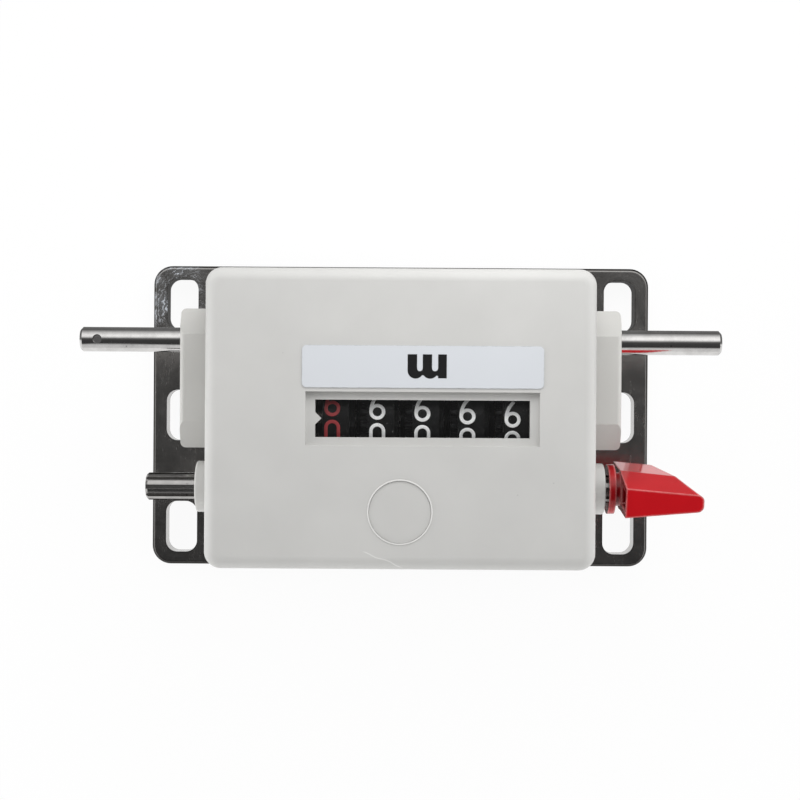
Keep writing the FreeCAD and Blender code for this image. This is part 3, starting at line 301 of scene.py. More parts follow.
def new_group(name, inputs, outputs):
    """An empty shader group with named sockets: its tree, its inputs and its output node."""
    tree = bpy.data.node_groups.new(name, "ShaderNodeTree")
    for title, kind, default in inputs:
        socket = tree.interface.new_socket(title, in_out="INPUT", socket_type="NodeSocket" + kind)
        if default is not None:
            socket.default_value = default
    for title, kind in outputs:
        tree.interface.new_socket(title, in_out="OUTPUT", socket_type="NodeSocket" + kind)
    entry = tree.nodes.new("NodeGroupInput").outputs
    return tree, entry, tree.nodes.new("NodeGroupOutput")


def make_grain_group():
    """Fine moulded grain with slow mottling."""
    inputs = [("Vector", "Vector", None), ("Scale", "Float", 2600.0),
              ("Mottle Scale", "Float", 90.0)]
    outputs = [("Height", "Float"), ("Mottle", "Float")]
    tree, entry, leave = new_group("moulded_grain", inputs, outputs)
    fine = noise(tree, entry["Vector"], entry["Scale"], detail=3.0, roughness=0.6)
    slow = noise(tree, entry["Vector"], entry["Mottle Scale"], detail=4.0, roughness=0.55)
    feed(tree, leave, Height=fine, Mottle=ranged(tree, slow, 0.3, 0.7))
    return tree


def make_edge_group():
    """Edges for wear and for painted edge light and shade: how far the surface turns within a small
    radius, broken up by noise.
    """
    inputs = [("Vector", "Vector", None), ("Radius", "Float", 0.0003),
              ("Breakup Scale", "Float", 900.0)]
    outputs = [("Mask", "Float"), ("Edge", "Float"), ("Round Normal", "Vector")]
    tree, entry, leave = new_group("edge_wear", inputs, outputs)
    round_normal = node(tree, "Bevel", {"Radius": entry["Radius"]}, samples=6).outputs[0]
    flat_normal = node(tree, "NewGeometry").outputs["Normal"]
    turn = node(tree, "VectorMath", {0: round_normal, 1: flat_normal}, operation="DOT_PRODUCT")
    edge = ranged(tree, turn.outputs["Value"], 0.995, 0.86)
    clouds = noise(tree, entry["Vector"], entry["Breakup Scale"], detail=4.0, roughness=0.7)
    broken = ranged(tree, clouds, 0.38, 0.6)
    mask = math_node(tree, "MULTIPLY", edge, broken, clamp=True)
    feed(tree, leave, Mask=mask, Edge=edge, Round_Normal=round_normal)
    return tree


def make_speck_group():
    """Scattered small specks of dust and dirt."""
    inputs = [("Vector", "Vector", None), ("Scale", "Float", 700.0), ("Size", "Float", 0.14),
              ("Share", "Float", 0.5)]
    tree, entry, leave = new_group("specks", inputs, [("Mask", "Float")])
    wobble = node(tree, "TexNoise", {"Vector": entry["Vector"], "Scale": 4000.0}).outputs[1]
    bent = node(tree, "VectorMath", {0: wobble, 1: (0.0003,) * 3, 2: entry["Vector"]},
                operation="MULTIPLY_ADD")
    cells = node(tree, "TexVoronoi", {"Vector": bent.outputs[0], "Scale": entry["Scale"]})
    near = math_node(tree, "LESS_THAN", cells.outputs["Distance"], entry["Size"])
    tone = node(tree, "SeparateColor", {0: cells.outputs["Color"]}).outputs[0]
    chosen = math_node(tree, "LESS_THAN", tone, entry["Share"])
    feed(tree, leave, Mask=product(tree, near, chosen))
    return tree


def make_scratch_group():
    """Long fine scratches or drawing lines along one direction."""
    inputs = [("Vector", "Vector", None), ("Scale", "Float", 1.0)]
    tree, entry, leave = new_group("fine_lines", inputs, [("Mask", "Float"), ("Height", "Float")])
    lines = noise(tree, entry["Vector"], entry["Scale"], detail=5.0, roughness=0.72)
    feed(tree, leave, Mask=ranged(tree, lines, 0.56, 0.66), Height=lines)
    return tree


GROUP_MAKERS = {"moulded_grain": make_grain_group, "edge_wear": make_edge_group,
                "specks": make_speck_group, "fine_lines": make_scratch_group}


def effect(tree, name, **inputs):
    """Places a shared effect in a material with its own values."""
    shared = bpy.data.node_groups.get(name) or GROUP_MAKERS[name]()
    made = node(tree, "Group", node_tree=shared)
    feed(tree, made, **inputs)
    return made.outputs


def new_material(name):
    """An empty material: itself, its tree, its shader and object coordinates."""
    material = bpy.data.materials.new(name)
    material.use_nodes = True
    tree = material.node_tree
    shader = tree.nodes["Principled BSDF"]
    return material, tree, shader, node(tree, "TexCoord").outputs["Object"]


def bumped(tree, height, strength, distance, over=None):
    """Normal that a height gives, over a rounded edge's normal where there is one."""
    made = node(tree, "Bump", {"Height": height, "Strength": strength, "Distance": distance})
    if over is not None:
        feed(tree, made, Normal=over)
    return made.outputs[0]


def tone(colour, factor):
    """A colour made lighter or darker."""
    return (*(min(1.0, part * factor) for part in colour), 1.0)


def flow_line(tree, place, start, end):
    """Wavy hairline where the moulding's flows met, on the top face from one point to another."""
    run = Vector(end) - Vector(start)
    turn = math.atan2(run.y, run.x)
    shift = -(Matrix.Rotation(-turn, 3, "Z") @ Vector(start))
    turned = stretched(tree, place, (1.0, 1.0, 1.0), (0.0, 0.0, -turn), tuple(shift))
    along, across, up = node(tree, "SeparateXYZ", {0: turned}).outputs
    wave = ranged(tree, noise(tree, place, 210.0, detail=1.0), 0.3, 0.7, -0.4 * MM, 0.4 * MM)
    off = math_node(tree, "ABSOLUTE", total(tree, across, wave))
    ends = product(tree, ranged(tree, along, 0.0, 0.6 * MM),
                   ranged(tree, along, run.length, run.length - 0.6 * MM))
    line = product(tree, ranged(tree, off, 0.13 * MM, 0.05 * MM), ends)
    return product(tree, line, ranged(tree, up, -1.2 * MM, -0.8 * MM))


def moulded_plastic(name, colour, roughness=0.42, grain=2600.0, flaw=None):
    """Moulded plastic: fine grain, slow mottling, paler edges, some dust, perhaps a flow line."""
    material, tree, shader, place = new_material(name)
    moulding = effect(tree, "moulded_grain", Vector=place, Scale=grain)
    edge = effect(tree, "edge_wear", Vector=place, Radius=0.0003)["Mask"]
    dust = effect(tree, "specks", Vector=place, Scale=330.0, Size=0.045, Share=0.3)["Mask"]
    base = mixed(tree, moulding["Mottle"], tone(colour, 0.97), tone(colour, 1.03))
    rubbed = mixed(tree, product(tree, edge, 0.35), base, tone(colour, 1.18))
    dusty = mixed(tree, product(tree, dust, 0.35), rubbed, tone(colour, 0.55))
    if flaw:
        line = product(tree, flow_line(tree, place, *flaw), 0.8)
        dusty = mixed(tree, line, dusty, tone(colour, 1.3))
    rough = ranged(tree, moulding["Height"], 0.3, 0.7, roughness - 0.05, roughness + 0.07)
    feed(tree, shader, Base_Color=dusty, Roughness=rough,
         Normal=bumped(tree, moulding["Height"], 0.35, 0.00002))
    return material


def corner_smear(tree, place, upward):
    """Zinc smear with curved traces at one corner of the plate's top face."""
    flat = stretched(tree, place, (1.0, 1.0, 0.0), shift=(-0.036, 0.019, 0.0))
    wave = {"Vector": flat, "Scale": 420.0, "Distortion": 9.0, "Detail": 4.0, "Detail Scale": 2.6}
    arcs = node(tree, "TexWave", wave, wave_type="RINGS", rings_direction="Z",
                wave_profile="SIN").outputs[1]
    spot = node(tree, "VectorMath", {0: place, 1: (0.0437, -0.0223, 0.003)}, operation="DISTANCE")
    corner = ranged(tree, spot.outputs["Value"], 0.0115, 0.003, smooth=True)
    cloud = ranged(tree, noise(tree, place, 420.0, detail=4.0, roughness=0.6), 0.42, 0.62)
    traces = product(tree, total(tree, ranged(tree, arcs, 0.8, 0.98), 0.25), cloud)
    return product(tree, product(tree, traces, corner), ranged(tree, upward, 0.4, 0.8))


def plated_steel(name, colour, roughness=0.16, plate=True):
    """Bright plated sheet with stains, scratches and darker edges; the plate also gets a painted
    dark reflection on its tilted edge faces, and a zinc smear.
    """
    material, tree, shader, place = new_material(name)
    clouds = noise(tree, place, 160.0, detail=5.0, roughness=0.65, distortion=0.6)
    stain = ranged(tree, clouds, 0.35, 0.7)
    rust = ranged(tree, noise(tree, place, 1500.0, detail=5.0, roughness=0.75), 0.5, 0.72)
    drawn = stretched(tree, place, (3200.0, 420.0, 900.0), (0.0, 0.0, 0.18))
    lines = effect(tree, "fine_lines", Vector=drawn)
    dark = effect(tree, "edge_wear", Vector=place, Radius=0.0005, Breakup_Scale=2200.0)["Mask"]
    marks = product(tree, lines["Mask"], 0.35)
    base = mixed(tree, stain, tone(colour, 0.9), tone(colour, 1.08))
    rusty = mixed(tree, product(tree, rust, 0.4), base, RUST)
    if plate:
        normal = node(tree, "NewGeometry").outputs["Normal"]
        upward = node(tree, "SeparateXYZ", {0: normal}).outputs["Z"]
        # Painted dark reflection: faces tilted between flat and upright, the plate's rounded edges,
        # are darkened as if they mirrored the dark room.
        rim = product(tree, ranged(tree, upward, 0.98, 0.85), ranged(tree, upward, 0.05, 0.25))
        smear = corner_smear(tree, place, upward)
        dark = math_node(tree, "MAXIMUM", dark, rim)
        marks = total(tree, total(tree, marks, rim), product(tree, smear, 1.6))
    # Darker edges: noise-broken edge darkening, and on the plate also the painted dark reflection
    # of its tilted faces.
    finished = mixed(tree, dark, rusty, DARK_EDGE_AND_PAINTED_REFLECTION)
    if plate:
        finished = mixed(tree, smear, finished, ZINC)
    rough = total(tree, ranged(tree, stain, 0.0, 1.0, roughness, roughness + 0.1),
                  product(tree, marks, 0.22))
    height = total(tree, product(tree, lines["Height"], 0.6), product(tree, rust, -0.8))
    feed(tree, shader, Base_Color=finished, Metallic=1.0, Roughness=rough,
         Normal=bumped(tree, height, 0.25, 0.00003))
    return material


def bar_steel(name, colour, roughness=0.09, lines_along=(60.0, 5000.0, 5000.0)):
    """Ground or drawn bar: fine lines and light handling marks."""
    material, tree, shader, place = new_material(name)
    lines = effect(tree, "fine_lines", Vector=stretched(tree, place, lines_along))
    stain = ranged(tree, noise(tree, place, 420.0, detail=5.0, roughness=0.7), 0.4, 0.68)
    specks = effect(tree, "specks", Vector=place, Scale=520.0, Size=0.09, Share=0.35)["Mask"]
    base = mixed(tree, stain, tone(colour, 1.05), tone(colour, 0.86))
    spotted = mixed(tree, product(tree, specks, 0.6), base, tone(colour, 0.35))
    rough = total(tree, ranged(tree, stain, 0.0, 1.0, roughness, roughness + 0.08),
                  product(tree, lines["Mask"], 0.1))
    feed(tree, shader, Base_Color=spotted, Metallic=1.0, Roughness=rough,
         Normal=bumped(tree, lines["Height"], 0.18, 0.00001))
    return material


def label_film(name, colour):
    """Printed film: nearly flat, faint orange peel, with a painted shadow line darkening its edges.
    """
    material, tree, shader, place = new_material(name)
    moulding = effect(tree, "moulded_grain", Vector=place, Scale=1400.0, Mottle_Scale=45.0)
    base = mixed(tree, moulding["Mottle"], tone(colour, 0.985), tone(colour, 1.02))
    # Painted shadow: the edge mask darkens the film's border, standing for the soft shadow along
    # the label's edge.
    edge = effect(tree, "edge_wear", Vector=place, Radius=0.00015)["Mask"]
    edge_shadowed = mixed(tree, edge, base, tone(colour, 0.5))
    rough = ranged(tree, moulding["Height"], 0.3, 0.7, 0.3, 0.38)
    feed(tree, shader, Base_Color=edge_shadowed, Roughness=rough,
         Normal=bumped(tree, moulding["Height"], 0.1, 0.00001))
    return material


def foil(name, colour):
    """Stamped foil of the numerals: thin places let the black through."""
    material, tree, shader, place = new_material(name)
    thin = ranged(tree, noise(tree, place, 3800.0, detail=4.0, roughness=0.7), 0.6, 0.72)
    fade = ranged(tree, noise(tree, place, 900.0, detail=2.0), 0.35, 0.65)
    base = mixed(tree, fade, tone(colour, 0.9), tone(colour, 1.06))
    worn = mixed(tree, product(tree, thin, 0.35), base, tone(colour, 0.4))
    rough = ranged(tree, thin, 0.0, 1.0, 0.42, 0.55)
    feed(tree, shader, Base_Color=worn, Roughness=rough, Normal=bumped(tree, thin, 0.2, -0.00001))
    return material


def black_plastic(name, colour):
    """Black wheels: satin moulding with paler edges and pale dust."""
    material, tree, shader, place = new_material(name)
    moulding = effect(tree, "moulded_grain", Vector=place, Scale=3000.0, Mottle_Scale=300.0)
    dust = effect(tree, "specks", Vector=place, Scale=900.0, Size=0.075, Share=0.22)["Mask"]
    base = mixed(tree, moulding["Mottle"], tone(colour, 0.8), tone(colour, 1.3))
    dusty = mixed(tree, product(tree, dust, 0.8), base, PALE_DUST)
    edge = effect(tree, "edge_wear", Vector=place, Radius=0.00015)["Mask"]
    worn = mixed(tree, product(tree, edge, 0.25), dusty, WORN_BLACK)
    rough = ranged(tree, moulding["Height"], 0.3, 0.7, 0.34, 0.46)
    feed(tree, shader, Base_Color=worn, Roughness=rough, Specular_IOR_Level=0.3,
         Normal=bumped(tree, moulding["Height"], 0.2, 0.00001))
    return material


def gloss_plastic(name, colour):
    """Red gloss moulding: sink marks, hairline scuffs, painted shade in the hollows, and paler
    ridges that are a painted highlight with some wear.
    """
    material, tree, shader, place = new_material(name)
    moulding = effect(tree, "moulded_grain", Vector=place, Scale=900.0, Mottle_Scale=120.0)
    worn = effect(tree, "edge_wear", Vector=place, Radius=0.0005)
    scuffs = stretched(tree, place, (300.0, 2600.0, 2600.0), (0.2, 0.1, 0.3))
    lines = effect(tree, "fine_lines", Vector=scuffs)
    base = mixed(tree, moulding["Mottle"], tone(colour, 0.95), tone(colour, 1.05))
    # Painted shade: ambient occlusion darkens the red to a deep tone in the key's hollows and where
    # it lies close to other parts.
    hollow = node(tree, "AmbientOcclusion", {"Distance": 0.008}, samples=6).outputs["AO"]
    shaded = mixed(tree, ranged(tree, hollow, 0.4, 0.9), tone(colour, 0.35), base)
    # Painted highlight with wear: the unbroken edge lays a pale line along ridges and rounded
    # edges, and the noise-broken mask adds rubbed spots; rubbed carries both.
    ridge_highlight_and_wear = total(tree, product(tree, worn["Edge"], 0.5), product(tree, worn["Mask"], 0.3))
    rubbed = mixed(tree, ridge_highlight_and_wear, shaded, HIGHLIT_AND_RUBBED_RED)
    rough = total(tree, product(tree, lines["Mask"], 0.12),
                  ranged(tree, moulding["Height"], 0.3, 0.7, 0.08, 0.14))
    feed(tree, shader, Base_Color=rubbed, Roughness=rough, Specular_IOR_Level=0.45,
         Normal=bumped(tree, moulding["Height"], 0.12, 0.00004, over=worn["Round Normal"]))
    return material


def clear_pane(name):
    """Clear plastic pane: faint haze."""
    material, tree, shader, place = new_material(name)
    haze = noise(tree, place, 260.0, detail=4.0)
    feed(tree, shader, Base_Color=CLEAR, Metallic=0.0, IOR=1.46, Transmission_Weight=1.0,
         Roughness=ranged(tree, haze, 0.35, 0.75, 0.0, 0.03))
    return material


def make_finishes():
    """Every material by its name: one for each of the record's slots, and those of the marks."""
    tint = bpy.context.scene.counter_colours
    made = [
        moulded_plastic("housing_plastic", tint.housing, flaw=FLOW_LINE),
        # The rim's paler moulding is a painted highlight.
        moulded_plastic("rim_plastic", tint.rim),
        moulded_plastic("cover_plastic", tint.cover, roughness=0.46),
        moulded_plastic("collar_plastic", tint.collar, roughness=0.5),
        moulded_plastic("gear_plastic", IVORY, roughness=0.36, grain=1800.0),
        plated_steel("plate_metal", tint.plate),
        plated_steel("sheet_steel", SHEET_STEEL, roughness=0.3, plate=False),
        bar_steel("shaft_steel", SHAFT_STEEL),
        bar_steel("toothed_steel", TOOTHED_STEEL, roughness=0.2),
        bar_steel("axle_steel", AXLE_STEEL, roughness=0.22),
        bar_steel("screw_steel", SCREW_STEEL, roughness=0.26, lines_along=(1800.0, 1800.0, 300.0)),
        bar_steel("spring_steel", SPRING_STEEL, roughness=0.3),
        bar_steel("bush_bronze", BRONZE, roughness=0.34, lines_along=(2500.0, 2500.0, 2500.0)),
        bar_steel("pin_brass", BRASS, roughness=0.22),
        label_film("label_film", tint.label),
        black_plastic("wheel_plastic", tint.wheel),
        gloss_plastic("key_plastic", tint.key),
        clear_pane("pane_clear"),
        foil("numeral_foil", tint.numeral),
        foil("tenths_foil", tint.tenths_numeral),
        foil("letter_ink", tint.ink),
    ]
    return {material.name: material for material in made}


def make_object(name, mesh):
    """A new object of a mesh, alone selected and active."""
    made = bpy.data.objects.new(name, mesh)
    bpy.context.scene.collection.objects.link(made)
    pick(made)
    return made


def pick(*objects):
    """Selects these objects alone; the first one is active."""
    for other in bpy.context.view_layer.objects:
        other.select_set(False)
    for chosen in objects:
        chosen.select_set(True)
    bpy.context.view_layer.objects.active = objects[0]


def settle(piece):
    """Moves the piece's place, turn and scale into its mesh."""
    pick(piece)
    bpy.ops.object.transform_apply(location=True, rotation=True, scale=True)


def smooth(degrees):
    """Shades the active piece smooth, apart from edges sharper than an angle."""
    bpy.ops.object.shade_smooth_by_angle(angle=math.radians(degrees))


def hand_over(piece, body, slot, finish=None):
    """Gives a finished piece its body and one material: its finish, which is the slot's own by
    default.
    """
    piece.data.materials.clear()
    piece.data.materials.append(bpy.data.materials[finish or slot])
    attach(piece, body)


def merged_copy(node_name, name):
    """A copy of a CAD part with its loose triangles joined into whole faces."""
    piece = make_object(name, NODES[node_name].data.copy())
    bpy.ops.object.mode_set(mode="EDIT")
    bpy.ops.mesh.select_all(action="SELECT")
    bpy.ops.mesh.remove_doubles(threshold=CAD_MERGE)
    bpy.ops.mesh.customdata_custom_splitnormals_clear()
    bpy.ops.mesh.dissolve_limited(angle_limit=math.radians(1.0))
    bpy.ops.object.mode_set(mode="OBJECT")
    return piece


def new_block(size, place, turn=(0.0, 0.0, 0.0)):
    """A block of a size along X, Y and Z, with its place and turn in its mesh."""
    bpy.ops.object.select_all(action="DESELECT")
    bpy.ops.mesh.primitive_cube_add(size=1.0, location=place, rotation=turn)
    block = bpy.context.view_layer.objects.active
    block.scale = size
    settle(block)
    return block


def choose_faces(piece, test):
    """Selects the faces of a piece that pass a test."""
    pick(piece)
    bpy.ops.object.mode_set(mode="EDIT")
    bpy.context.tool_settings.mesh_select_mode = (False, False, True)
    bpy.ops.mesh.select_all(action="DESELECT")
    bpy.ops.object.mode_set(mode="OBJECT")
    for face in piece.data.polygons:
        if test(face):
            face.select = True


def screw_axes(piece):
    """Where the screws of a piece stand, in a fixed order: each loose part's centre from above."""
    pick(piece)
    mesh = bmesh.new()
    mesh.from_mesh(piece.data)
    left, axes = set(mesh.verts), []
    while left:
        island, edge = set(), [left.pop()]
        while edge:
            vertex = edge.pop()
            island.add(vertex)
            near = {link.other_vert(vertex) for link in vertex.link_edges} & left
            left -= near
            edge += near
        spans = [[v.co[k] for v in island] for k in (0, 1)]
        axes.append(tuple((min(span) + max(span)) / 2 for span in spans))
    mesh.free()
    return sorted(axes)


def cross_cutter(axes, foot, sizes):
    """Tapered crosses, one on each screw's axis, each turned its own way."""
    bars = []
    size = (sizes.recess_width, sizes.recess_slot, sizes.recess_depth)
    middle = foot + sizes.recess_depth / 2
    for count, (x, y) in enumerate(axes):
        turn = math.radians(FIRST_TURN + NEXT_TURN * count)
        for quarter in (0, 90):
            place = (x, y, middle - OVERLAP)
            bar = new_block(size, place, (0.0, 0.0, turn + math.radians(quarter)))
            for vertex in bar.data.vertices:
                if vertex.co.z > middle:
                    vertex.co.x = x + (vertex.co.x - x) * RECESS_TAPER
                    vertex.co.y = y + (vertex.co.y - y) * RECESS_TAPER
            bars.append(bar)
    pick(*bars)
    bpy.ops.object.join()
    return bpy.context.view_layer.objects.active


def arc(centre, radii, start, end, steps=14):
    """Points of an elliptic arc, its angles in degrees."""
    turns = [math.radians(start + (end - start) * i / steps) for i in range(steps + 1)]
    return [(centre[0] + radii[0] * math.cos(t), centre[1] + radii[1] * math.sin(t)) for t in turns]


def bezier(start, handle, end, steps=10):
    """Points of a curve with one handle."""
    made = []
    for i in range(steps + 1):
        t = i / steps
        weights = ((1 - t) ** 2, 2 * t * (1 - t), t * t)
        pairs = list(zip(weights, (start, handle, end)))
        made.append(tuple(sum(w * p[k] for w, p in pairs) for k in (0, 1)))
    return made


def numeral_lines(a, b):
    """Centre lines of the ten numerals, each (points, closed), within half width a and height b."""
    full = arc((0, b - a), (a, a), 0, 180) + arc((0, a - b), (a, a), 180, 360)
    nine_tail = bezier((a, b - a), (a * 0.98, -0.45 * b), (-0.12 * a, -b), 12)
    loop = arc((0, b - a), (a, a), 0, 360, 28)[:-1]
    return {
        0: [(full, True)],
        1: [([(-0.55 * a, b - 0.75 * a), (0.2 * a, b), (0.2 * a, -b)], False)],
        2: [(arc((0, b - a), (a, a), 165, -35) + [(-a, -b), (a, -b)], False)],
        3: [(arc((0, b - 0.86 * a), (0.86 * a, 0.86 * a), 150, -80), False),
            (arc((0, a - b), (a, a), 80, -150), False)],
        4: [([(0.3 * a, b), (-a, -0.42 * b), (a, -0.42 * b)], False),
            ([(0.45 * a, 0.2 * b), (0.45 * a, -b)], False)],
        5: [([(0.8 * a, b), (-0.7 * a, b), (-0.82 * a, 0.12 * b)]
             + arc((0, a - b), (a, a * 1.04), 128, -150, 18), False)],
        6: [([(-x, -y) for x, y in loop], True), ([(-x, -y) for x, y in nine_tail], False)],
        7: [([(-a, b), (a, b), (-0.25 * a, -b)], False)],
        8: [(arc((0, b - 0.84 * a), (0.84 * a, 0.84 * a), 0, 360, 24)[:-1], True),
            (arc((0, a - b), (a, a), 0, 360, 28)[:-1], True)],
        9: [(loop, True), (nine_tail, False)],
    }


def divided(points, closed, step=0.2 * MM):
    """Adds points to long straight runs, so that a line can follow a round rim."""
    made = []
    ends = points[1:] + (points[:1] if closed else [])
    for start, end in zip(points, ends):
        parts = max(1, math.ceil(math.dist(start, end) / step))
        made += [tuple(Vector(start).lerp(Vector(end), i / parts)) for i in range(parts)]
    return made if closed else made + [points[-1]]


def rounded_ends(points, half):
    """Adds close points with falling width at both ends, so that a line ends round."""
    def end_of(tip, before):
        away = (Vector(tip) - Vector(before)).normalized()
        return [(*(Vector(tip) + away * half * reach), math.sqrt(max(0.0, 1 - reach * reach)))
                for reach in (0.35, 0.6, 0.8, 0.93, 0.995)]
    first = end_of(points[0], points[1])[::-1]
    last = end_of(points[-1], points[-2])
    return first + [(x, y, 1.0) for x, y in points] + last


def add_line(curve, places, closed=True):
    """Adds a straight-sided line to a curve and gives its points."""
    spline = curve.splines.new("POLY")
    spline.points.add(len(places) - 1)
    spline.use_cyclic_u = closed
    for point, place in zip(spline.points, places):
        point.co = (*place, 1.0)
    return spline.points


def stroke_profile(width, thickness):
    """Flat cross-section of a stamped line, with soft edges."""
    curve = bpy.data.curves.new("stroke_profile", "CURVE")
    outline = [(-0.5, 0.0), (-0.47, 0.32), (-0.4, 0.5), (0.4, 0.5), (0.47, 0.32), (0.5, 0.0),
               (0.4, -0.5), (-0.4, -0.5)]
    add_line(curve, [(x * width, y * thickness, 0.0) for x, y in outline])
    return make_object("stroke_profile", curve)


def stroke_mesh(strokes, profile, half, name):
    """A flat piece of raised lines, each a little higher than the last, so that none coincide."""
    curve = bpy.data.curves.new(name, "CURVE")
    curve.dimensions = "3D"
    curve.twist_mode = "Z_UP"
    curve.bevel_mode = "OBJECT"
    curve.bevel_object = profile
    curve.use_fill_caps = True
    for layer, (line, closed) in enumerate(strokes):
        points = divided(line, closed)
        widths = [(x, y, 1.0) for x, y in points] if closed else rounded_ends(points, half)
        height = layer * LINE_LIFT
        made = add_line(curve, [(x, y, height) for x, y, width in widths], closed)
        for point, (x, y, width) in zip(made, widths):
            point.radius = max(width, LEAST_WIDTH)
    make_object(name, curve)
    bpy.ops.object.convert(target="MESH")
    return bpy.context.view_layer.objects.active


def wrap(piece, centre, radius, angle):
    """Lays a flat piece on a wheel: its height goes round the rim, starting at an angle."""
    for vertex in piece.data.vertices:
        x, y, z = vertex.co
        turn = angle + y / radius
        reach = radius + z
        vertex.co = (centre.x + x, centre.y + reach * math.sin(turn),
                     centre.z + reach * math.cos(turn))


def upright_m(width):
    """Outline of the bold unit letter, drawn 6 units wide, its foot and its left side at 0."""
    unit = width / 6.0
    outline = [(0.0, 0.0), (1.32, 0.0)]
    outline += arc((1.79, 2.12), (0.47, 0.47), 180, 0)
    outline += [(2.26, 0.0), (3.68, 0.0)]
    outline += arc((4.115, 2.12), (0.435, 0.47), 180, 0)
    outline += [(4.55, 0.0), (6.0, 0.0)]
    outline += arc((4.78, 2.5), (1.22, 1.23), 0, 146)
    outline += arc((2.54, 2.5), (1.22, 1.23), 36, 142)
    outline += [(1.32, 3.3), (1.32, 3.66), (0.0, 3.66)]
    return [(x * unit, y * unit) for x, y in outline]


class COUNTER_OT_finishes(bpy.types.Operator):
    """Puts the finishes on every part that comes from the frame"""
    bl_idname = "counter.finishes"
    bl_label = "Finish the parts"

    def execute(self, context):
        plain = list(bpy.data.materials)
        slots = [(slot, slot.material.name)
                 for part in NODES.values() for slot in part.material_slots]
        for material in plain:
            material.name = f"plain_{material.name}"
        finishes = make_finishes()
        for slot, name in slots:
            slot.material = finishes[name]
        for material in plain:
            bpy.data.materials.remove(material)
        # The input gear's black finish is painted shade.
        for name, finish in OTHER_FINISHES.items():
            NODES[name].material_slots[0].material = finishes[finish]
        NODES["window_pane"].visible_shadow = False
        NODES["window_pane"].visible_diffuse = False
        return {"FINISHED"}


class COUNTER_OT_numerals(bpy.types.Operator):
    """Stamps the numerals on the five wheels"""
    bl_idname = "counter.numerals"
    bl_label = "Stamp the numerals"

    def execute(self, context):
        sizes = context.scene.counter_sizes
        half = sizes.numeral_stroke / 2
        lines = numeral_lines(sizes.numeral_width / 2 - half, sizes.numeral_height / 2 - half)
        profile = stroke_profile(sizes.numeral_stroke, sizes.numeral_relief)
        for wheel in WHEELS:
            low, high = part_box(f"{wheel}_wheel")
            radius = (high.z - low.z) / 2
            centre = Vector((low.x + NUMERAL_INSET, 0.0, (low.z + high.z) / 2))
            flats = []
            for digit, strokes in lines.items():
                flat = stroke_mesh(strokes, profile, half, f"{wheel}_{digit}")
                wrap(flat, centre, radius, math.radians(READING[wheel] + 36 * (digit + 0.5)))
                flats.append(flat)
            pick(*flats)
            bpy.ops.object.join()
            piece = context.view_layer.objects.active
            piece.name = f"{wheel}_numerals"
            smooth(35)
            if wheel == "tenths":
                hand_over(piece, wheel, "key_plastic", "tenths_foil")
            else:
                hand_over(piece, wheel, "label_film", "numeral_foil")
        bpy.data.objects.remove(profile)
        return {"FINISHED"}


class COUNTER_OT_unit_letter(bpy.types.Operator):
    """Prints the unit letter on the label"""
    bl_idname = "counter.unit_letter"
    bl_label = "Print the unit letter"

    def execute(self, context):
        sizes = context.scene.counter_sizes
        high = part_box("unit_label")[1]
        curve = bpy.data.curves.new("unit_letter", "CURVE")
        curve.dimensions = "2D"
        curve.fill_mode = "BOTH"
        curve.extrude = sizes.letter_ink / 2
        add_line(curve, [(x, y, 0.0) for x, y in upright_m(sizes.letter_width)])
        make_object("unit_letter", curve)
        bpy.ops.object.convert(target="MESH")
        piece = context.view_layer.objects.active
        piece.location = (*LETTER_PLACE, high.z + sizes.letter_ink / 4)
        settle(piece)
        hand_over(piece, "frame", "label_film", "letter_ink")
        return {"FINISHED"}


class COUNTER_OT_dish_rim(bpy.types.Operator):
    """Sets the fine raised rim round the bare dish"""
    bl_idname = "counter.dish_rim"
    bl_label = "Set the dish rim"

    def execute(self, context):
        sizes = context.scene.counter_sizes
        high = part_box("housing")[1]
        profile = stroke_profile(sizes.rim_width, sizes.rim_height)
        circle = arc((0.0, high.y - DISH_INSET), (sizes.rim_radius,) * 2, 0, 360, 96)[:-1]
        piece = stroke_mesh([(circle, True)], profile, sizes.rim_width / 2, "dish_rim")
        bpy.data.objects.remove(profile)
        piece.location.z = high.z + RIM_STANDS - sizes.rim_height / 2
        settle(piece)
        smooth(60)
        # The rim's lighter finish is a painted highlight.
        hand_over(piece, "frame", "housing_plastic", "rim_plastic")
        return {"FINISHED"}


def trim(piece, cutter):
    """Cuts a cutter out of a piece and removes the cutter."""
    pick(piece)
    cut = piece.modifiers.new("cut", "BOOLEAN")
    cut.operation = "DIFFERENCE"
    cut.solver = "EXACT"
    cut.use_self = True
    cut.object = cutter
    bpy.ops.object.modifier_apply(modifier=cut.name)
    bpy.data.objects.remove(cutter)


def root_pocket(sizes, side):
    """Tapered block that hollows the wing's root beside the neck, leaning as the wing does."""
    centre = (0.0, 0.0, side * (sizes.pocket_start + sizes.pocket_end) / 2)
    extra = 0.5 * MM
    block = new_block((sizes.key_hollow + extra, 2 * sizes.pocket_half,
                       sizes.pocket_end - sizes.pocket_start), centre)
    choose_faces(block, lambda face: face.normal.x < -0.9)
    bpy.ops.object.mode_set(mode="EDIT")
    bpy.ops.transform.resize(value=POCKET_TAPER, center_override=centre)
    bpy.ops.object.mode_set(mode="OBJECT")
    block.location = (ROOT_FACE + (extra - sizes.key_hollow) / 2, RESET_AXIS.y, RESET_AXIS.z)
    block.rotation_euler = (-KEY_LEAN, 0.0, 0.0)
    settle(block)
    return block


